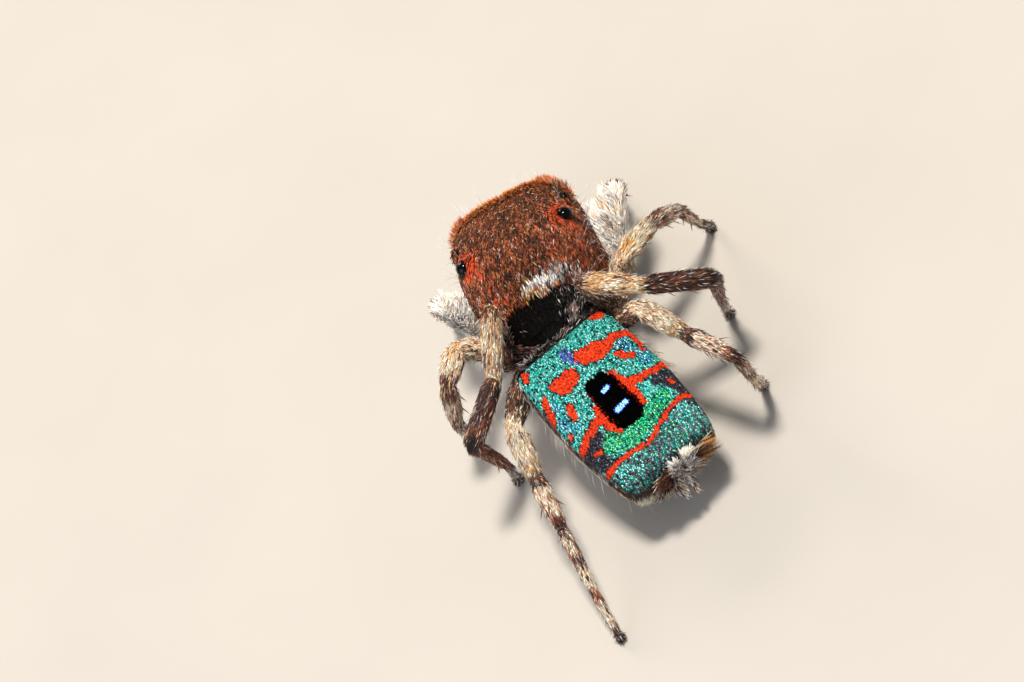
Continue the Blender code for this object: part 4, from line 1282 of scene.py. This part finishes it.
def coat_plate(abdomen):
    """Tile the plate with small flat scales that carry its markings."""
    sown = {grid: sow(abdomen, *setting, plate_part) for grid, setting in PLATE_GRIDS.items()}
    zones_of = {grid: plate_zones(roots.point) for grid, roots in sown.items()}
    # The last column is the painted shade at each scale's root
    for name, (grid, mixes, finish, length, width, bank, dark) in PLATE_STYLES.items():
        zones = zones_of[grid]
        mask = np.isin(zones, mixes)
        coat(f"plate_{name}_scales", sown[grid].pick(mask), -ABDOMEN.forward, zones[mask], "plate_scales",
             ruffled=0.30, length=(length * 0.8, length * 1.15), width=(width * 0.8, width * 1.1),
             finish=finish, shape="scale", thickness=0.16, lift=0.16, bend=0.8, bank=bank, root_shade=dark,
             sink=0.004)


def coat_flanks(abdomen):
    """Hang the pale fuzz on both flanks, the dark hair in front and the tuft at the rear."""
    roots = sow(abdomen, 0.0262, keep=below_plate)
    forward, right, up = ABDOMEN.read(roots.point).T
    count = len(roots)
    outward = ABDOMEN.right * np.sign(right)[:, None]
    lie = -ABDOMEN.forward * 0.75 - ABDOMEN.up * 0.75 + outward * 0.05
    lie = lie + ABDOMEN.up * (drift(roots.point, 0.10, 21) * 0.30)[:, None]
    lie = lie + outward * (drift(roots.point, 0.10, 22) * 0.15)[:, None]
    front = forward > -0.02
    rear = forward < -1.96
    aside = right - TAIL_MIDDLE
    tuft = rear & (np.abs(aside) < TAIL_REACH) & (up > -0.46)
    lie[front] = (ABDOMEN.up * 0.9 + outward * 0.3 + ABDOMEN.forward * 0.2)[front]
    fan = ABDOMEN.up * 0.6 + ABDOMEN.right * (aside * 2.6)[:, None]
    lie[tuft] = fan[tuft]
    length = spread(count, 0.8, 1.2) * np.interp(-up, (0.12, 0.5), (0.07, 0.19))
    length[front] = spread(count, 0.05, 0.09)[front]
    edge = front & (up > -0.24) & (RNG.random(count) < 0.16) & (np.abs(right + 0.05) < 0.5)
    length[edge] = spread(count, 0.09, 0.15)[edge]
    fringe = (right > 0.5) & within(forward, *FRINGE_AHEAD) & within(up, *FRINGE_UP)
    fringe &= RNG.random(count) < FRINGE_SHARE
    lie[fringe] = (ABDOMEN.right * 0.8 - ABDOMEN.forward * 0.6 - ABDOMEN.up * 0.1)[None]
    length[fringe] = spread(count, 0.16, 0.28)[fringe]
    length[tuft] = spread(count, 0.17, 0.27)[tuft]
    names = np.full(count, "pale_fuzz", dtype=object)
    # Dark fuzz in drifting patches, and in a band just under the plate's rim that is painted shade
    names[(drift(roots.point, 0.25, 23) > 0.5) | (up > -0.26)] = "dark_fuzz"
    names[front] = "front_fuzz"
    names[fringe] = "pale_fuzz"
    names[edge] = "haze"
    names[tuft] = "tail_fuzz"
    names[tuft & (np.abs(aside) < TAIL_WHITE * RNG.random(count))] = "white_fuzz"
    # Brown and gold tail hair low on the rear of the flanks is painted light, standing for warm light thrown
    # back onto them from below and behind
    names[(forward < -1.60) & (up < -0.20) & ~rear & (RNG.random(count) < 0.6)] = "tail_fuzz"
    lift = np.where(front | rear | fringe, 0.8, 0.35)
    lift[tuft] = 0.9
    coat("abdomen_fuzz", roots, lie, names, "belly_cuticle", ruffled=0.25, length=length,
         width=(0.010, 0.017), clump=0.12, lift=lift, bend=0.7,
         root_shade=np.where(names == "white_fuzz", 0.95, 0.5))
    tail_tuft(abdomen)
    rim = sow(abdomen, 0.16, keep=below_plate)
    rim = rim.pick(ABDOMEN.read(rim.point)[:, 2] < -0.30)
    coat("abdomen_bristles", rim, -ABDOMEN.forward - ABDOMEN.up * 0.4, "white_fuzz", "belly_cuticle",
         ruffled=0.4, length=(0.18, 0.30), width=0.007, lift=0.9, thickness=0.6, **BRISTLE)


def tail_tuft(abdomen):
    """Fan out the dense white tuft at the abdomen's rear."""
    roots = sow(abdomen, 0.0125, (0.94, 1.0))
    forward, right, up = ABDOMEN.read(roots.point).T
    aside = right - TAIL_MIDDLE
    mask = within(np.abs(aside), TAIL_PART, TAIL_WHITE) & within(up, -0.40, -0.11) & (forward < -1.9)
    lie = ABDOMEN.up * 0.6 + ABDOMEN.right * (aside[mask] * 1.6)[:, None]
    coat("tail_tuft", roots.pick(mask), lie, "white_fuzz", "belly_cuticle", ruffled=0.14,
         length=(0.09, 0.15), width=(0.018, 0.026), shape="plume", thickness=0.35,
         lift=np.interp(up[mask], (-0.40, -0.12), (0.9, 0.5)), bend=0.4, root_shade=0.95)


def make_spinnerets():
    """Make the spinnerets as haired cones round a small hub."""
    behind, up = SPINNERET_BASE
    nodes = ("spinnerets",)
    for index, (across, rise, length, radius) in enumerate(SPINNERETS):
        for side, sign in SIDES:
            base = ABDOMEN.at(-behind + 0.02, sign * across, up + rise)
            tip = ABDOMEN.at(-behind - 0.10 - length, sign * across * 0.7, up + rise - 0.04)
            profile = ((0.0, radius * 1.2), (0.4, radius), (0.75, radius * 0.85), (1.0, radius * 0.5))
            cone = Limb((base, tip), (profile,), ABDOMEN.up)
            name = f"spinneret_{index + 1}_{side}"
            make_skin(f"{name}_skin", cone, 30, 24, plain("tan", 0.5), "chitin", nodes)
            nodes = ()
            roots = sow(cone, 0.020)
            names = np.where(RNG.random(len(roots)) < 0.35 + 0.5 * index, "white_fuzz", "tail_fuzz")
            coat(f"{name}_hair", roots, roots.along, names, "belly_cuticle", ruffled=0.2,
                 length=(0.06, 0.11), width=0.012, lift=0.35)


# Legs, palps and jaws
def leg_spines(name, joints):
    """Set the stout spines on the tibia and metatarsus."""
    starts, ways, normals, lengths = [], [], [], []
    for index, (places, length, radius) in SPINES.items():
        start, end = joints[index], joints[index + 1]
        way = unit(end - start)
        upward = unit(np.array((0.0, 0.0, 1.0)) - way * way[2])
        across = np.cross(way, upward)
        for share, turn in places:
            turn = math.radians(turn)
            outward = upward * math.cos(turn) + across * math.sin(turn)
            starts.append(start + (end - start) * share + outward * radius)
            ways.append(way)
            normals.append(outward)
            lengths.append(length)
    grow(f"{name}_spines", set_roots(starts, normals), np.array(ways), lengths, 0.020,
         mix_tints(["leg_dark"] * len(starts)), "leg_cuticle", thickness=0.8,
         lift=math.tan(math.radians(SPINE_LEAN)), bend=0.2, sink=0.02, **BRISTLE)


def make_leg(side, number):
    """Make one leg: its skin, lying coat, spines, stray hairs and foot."""
    name = f"leg_{number}_{side}"
    joints = leg_joints(side, number)
    profiles = list(LEG_PROFILES)
    if number == STOUT_LEG:
        profiles[3:5] = (STOUT_TIBIA, STOUT_METATARSUS)
    limb = Limb(joints, profiles, (0, 0, 1))
    nodes = [f"{name}_{part}" for part in ("femur", "tibia", "tarsus")]

    def tints(points):
        names = leg_zones(limb, nearest_share(limb, points), number)
        return mean_tints(names) * UNDER_LEG_COAT

    make_skin(f"{name}_skin", limb, 260, 40, tints, "haired_chitin", nodes)
    roots = sow(limb, 0.0206)
    count = len(roots)
    radius = limb.read(limb.radius, roots.share)
    squeezed = np.stack((
        roots.share * limb.length * LEG_SQUEEZE, radius * np.cos(roots.turn), radius * np.sin(roots.turn)),
        axis=1)
    clump = clumps(squeezed, 0.17)
    names = leg_zones(limb, roots.share, number)
    turned = RNG.normal(0, 0.10, clump.max() + 1)[clump]
    lie = ruffle(roots, roots.along, 0.07) + np.cross(roots.normal, roots.along) * turned[:, None]
    lift = 0.10 + np.clip(limb.rise_ahead(roots, 0.08), 0, 0.8) * 1.2
    grow(f"{name}_coat", roots, lie, spread(count, 0.095, 0.155), spread(count, 0.0116, 0.0180),
         mix_tints(names, clump), "leg_cuticle", shape="scale", thickness=0.25, lift=lift, bend=0.3,
         bank=0.30, root_shade=0.90)
    stray = sow(limb, 0.075)
    names = np.where(RNG.random(len(stray)) < 0.5, "white_fuzz", "dark_fuzz")
    coat(f"{name}_fuzz", stray, stray.along, names, "leg_cuticle", ruffled=0.3, length=(0.07, 0.13),
         width=0.006, lift=0.6, thickness=0.5)
    leg_spines(name, joints)
    make_foot(name, joints[-1], unit(joints[-1] - joints[-2]))
    if number == 1:
        white_femur(name, limb, side)


def white_femur(name, limb, side):
    """Grow the long white hair on a front femur, most of it towards the head."""
    roots = sow(limb, 0.024, (0.0, 0.50))
    lengths = limb.lengths_at(roots.share)
    mask = within(lengths, *WHITE_FEMUR)
    roots = roots.pick(mask)
    inward = np.array((1.0 if side == "right" else -1.0, 0.0, 0.0))
    lie = roots.along * 0.75 + inward * 0.5 + np.array((0.0, 0.0, -0.15))
    lie = lie + roots.normal * (drift(roots.point, 0.08, 31) * 0.3)[:, None]
    facing = np.clip(roots.normal @ inward, 0, 1)
    longer = (1 + 0.6 * facing) * np.interp(lengths[mask], (1.7, 2.0), (1.0, 0.65))
    mix = "plume_fuzz" if side == "right" else "white_fuzz"
    coat(f"{name}_plumes", roots, lie, mix, "pale_hair", ruffled=0.22, length=(0.14 * longer, 0.22 * longer),
         width=(0.013, 0.021), clump=0.15, lift=0.35 + 0.5 * facing, root_shade=0.8)


def make_foot(name, tip, way):
    """Make the foot's pad on the floor, its brush of dark hair and two claws."""
    profile = ((0.0, 0.048), (0.3, 0.062), (0.8, 0.060), (1.0, 0.040))
    pad = Limb((tip + np.array((0, 0, 0.05)), tip - np.array((0, 0, TIP_HEIGHT - 0.004))), (profile,),
               (way[0], way[1], 0.001))
    make_skin(f"{name}_pad", pad, 24, 24, plain("dark", 0.8), "chitin")
    level = np.array((way[0], way[1], 0.0))
    coat(f"{name}_brush", sow(pad, 0.014), np.array((0, 0, -1.0)) + unit(level) * 0.35, "dark_fuzz",
         "leg_cuticle", ruffled=0.35, length=(0.05, 0.085), width=0.011, lift=0.7, bend=0.4)
    side = unit(np.cross(level, (0, 0, 1)))
    claws = set_roots(
        (tip + side * 0.02 + level * 0.03, tip - side * 0.02 + level * 0.03), ((0.0, 0.0, 1.0),) * 2)
    lie = unit(level) + np.stack((side * 0.4, -side * 0.4))
    grow(f"{name}_claws", claws, lie, 0.075, 0.020, mix_tints(["slope"] * 2), "leg_cuticle",
         thickness=0.8, lift=0.35, bend=2.4, **BRISTLE)


def make_palps_and_jaws():
    """Make both palps with their white brushes, and both jaws."""
    for side, sign in SIDES:
        palp = tapered_limb(PALP_PATH, sign, PALP_RADII, ((0.9, PALP_RADII[-1]),), PROSOMA.up)
        make_skin(f"palp_{side}_skin", palp, 120, 36, plain("tan", 0.5), "chitin",
                  (f"palp_{side}",))
        roots = sow(palp, 0.020)
        count = len(roots)
        brush = palp.lengths_at(roots.share) > 1.2
        length = np.where(brush, spread(count, 0.13, 0.22), spread(count, 0.07, 0.11))
        names = np.where(brush, "white_fuzz", "pale_fuzz")
        coat(f"palp_{side}_brush", roots, roots.along, names, "pale_hair", ruffled=0.25, length=length,
             width=(0.010, 0.016), lift=0.45)
        jaw = tapered_limb(JAW_PATH, sign, JAW_RADII, (), PROSOMA.forward)
        make_skin(f"chelicera_{side}_skin", jaw, 60, 36, plain("rust_dark", 1.0), "chitin",
                  (f"chelicera_{side}",))
        roots = sow(jaw, 0.026)
        names = np.where(RNG.random(len(roots)) < 0.4, "white_fuzz", "cheek")
        coat(f"chelicera_{side}_hair", roots, roots.along, names, "dark_cuticle", ruffled=0.2,
             length=(0.08, 0.15), width=0.012, lift=0.3, bend=0.4)


def tapered_limb(path, sign, radii, last_part, upward):
    """Make a limb from places on the front body and its radius at each."""
    points = [PROSOMA.at(forward, sign * right, up) for forward, right, up in path]
    profiles = [((0.0, a), (0.5, (a + b) / 2)) for a, b in zip(radii, radii[1:])]
    profiles[-1] += last_part
    return Limb(points, profiles, upward)


# Floor, light and camera
FLOOR_HALF = 400.0
LOOK_AT = (0.7545, -0.8769, 1.0329)
CAMERA_RIGHT = (-0.87533, 0.27533, -0.39748)
CAMERA_UP = (-0.46811, -0.68848, 0.55396)
CAMERA_BACK = (-0.12113, 0.67097, 0.73154)
CAMERA_DISTANCE = 150.0
SENSOR_WIDTH = 36.0
VIEW_WIDTH = 12.05


def make_floor():
    """Lay the plain pale floor."""
    mesh = bpy.data.meshes.new("floor")
    reach = FLOOR_HALF * METRES_PER_MM
    corners = [(-reach, -reach, 0), (reach, -reach, 0), (reach, reach, 0), (-reach, reach, 0)]
    mesh.from_pydata(corners, [], [(0, 1, 2, 3)])
    floor = bpy.data.objects.new("floor", mesh)
    bpy.context.scene.collection.objects.link(floor)
    # Matt card, slightly uneven in tone
    mesh.materials.append(make_finish(
        "matt_card", 0.9, specular=0.2, grain_mm=3.0, contrast=0.02, colour="#B2AEA8"))


def make_light(name, place, size_mm, power, colour):
    """Hang one square soft light that faces the spider."""
    data = bpy.data.lights.new(name, "AREA")
    data.shape = "SQUARE"
    data.size = size_mm * METRES_PER_MM
    data.energy = power
    data.color = linear(colour)
    light = bpy.data.objects.new(name, data)
    light.location = Vector(place) * METRES_PER_MM
    target = Vector(LOOK_AT) * METRES_PER_MM
    light.rotation_euler = (light.location - target).to_track_quat("Z", "Y").to_euler()
    bpy.context.scene.collection.objects.link(light)


def make_lights():
    """Light the spider like a table top under a bright window and a pale room."""
    make_light("key_light", (-16, -4, 148), 26, 0.310, "#FFF6EA")
    make_light("fill_light", (110, 80, 70), 110, 0.100, "#EAF2FF")
    make_light("back_light", (50, -130, 70), 60, 0.130, "#FFF0DC")
    world = bpy.data.worlds.new("room")
    world.use_nodes = True
    background = world.node_tree.nodes["Background"]
    background.inputs["Color"].default_value = (*linear("#E8ECF2"), 1.0)
    background.inputs["Strength"].default_value = 0.36
    bpy.context.scene.world = world
    # Plain colour management keeps the scales' strong colours
    bpy.context.scene.view_settings.view_transform = "Standard"


def make_camera():
    """Set the camera at the photograph's angle, turned with the spider."""
    data = bpy.data.cameras.new("camera")
    data.sensor_width = SENSOR_WIDTH
    data.lens = SENSOR_WIDTH * CAMERA_DISTANCE / VIEW_WIDTH
    data.clip_start = 0.001
    data.clip_end = 10.0
    camera = bpy.data.objects.new("camera", data)
    place = Vector(LOOK_AT) + Vector(CAMERA_BACK) * CAMERA_DISTANCE
    turn = Matrix((CAMERA_RIGHT, CAMERA_UP, CAMERA_BACK)).transposed().to_4x4()
    camera.matrix_world = Matrix.Translation(place * METRES_PER_MM) @ turn
    bpy.context.scene.collection.objects.link(camera)
    bpy.context.scene.camera = camera


make_camera()
make_floor()
make_lights()
make_front_body()
make_abdomen()
for leg_side, leg_number in LEG_ANGLES:
    make_leg(leg_side, leg_number)
make_palps_and_jaws()
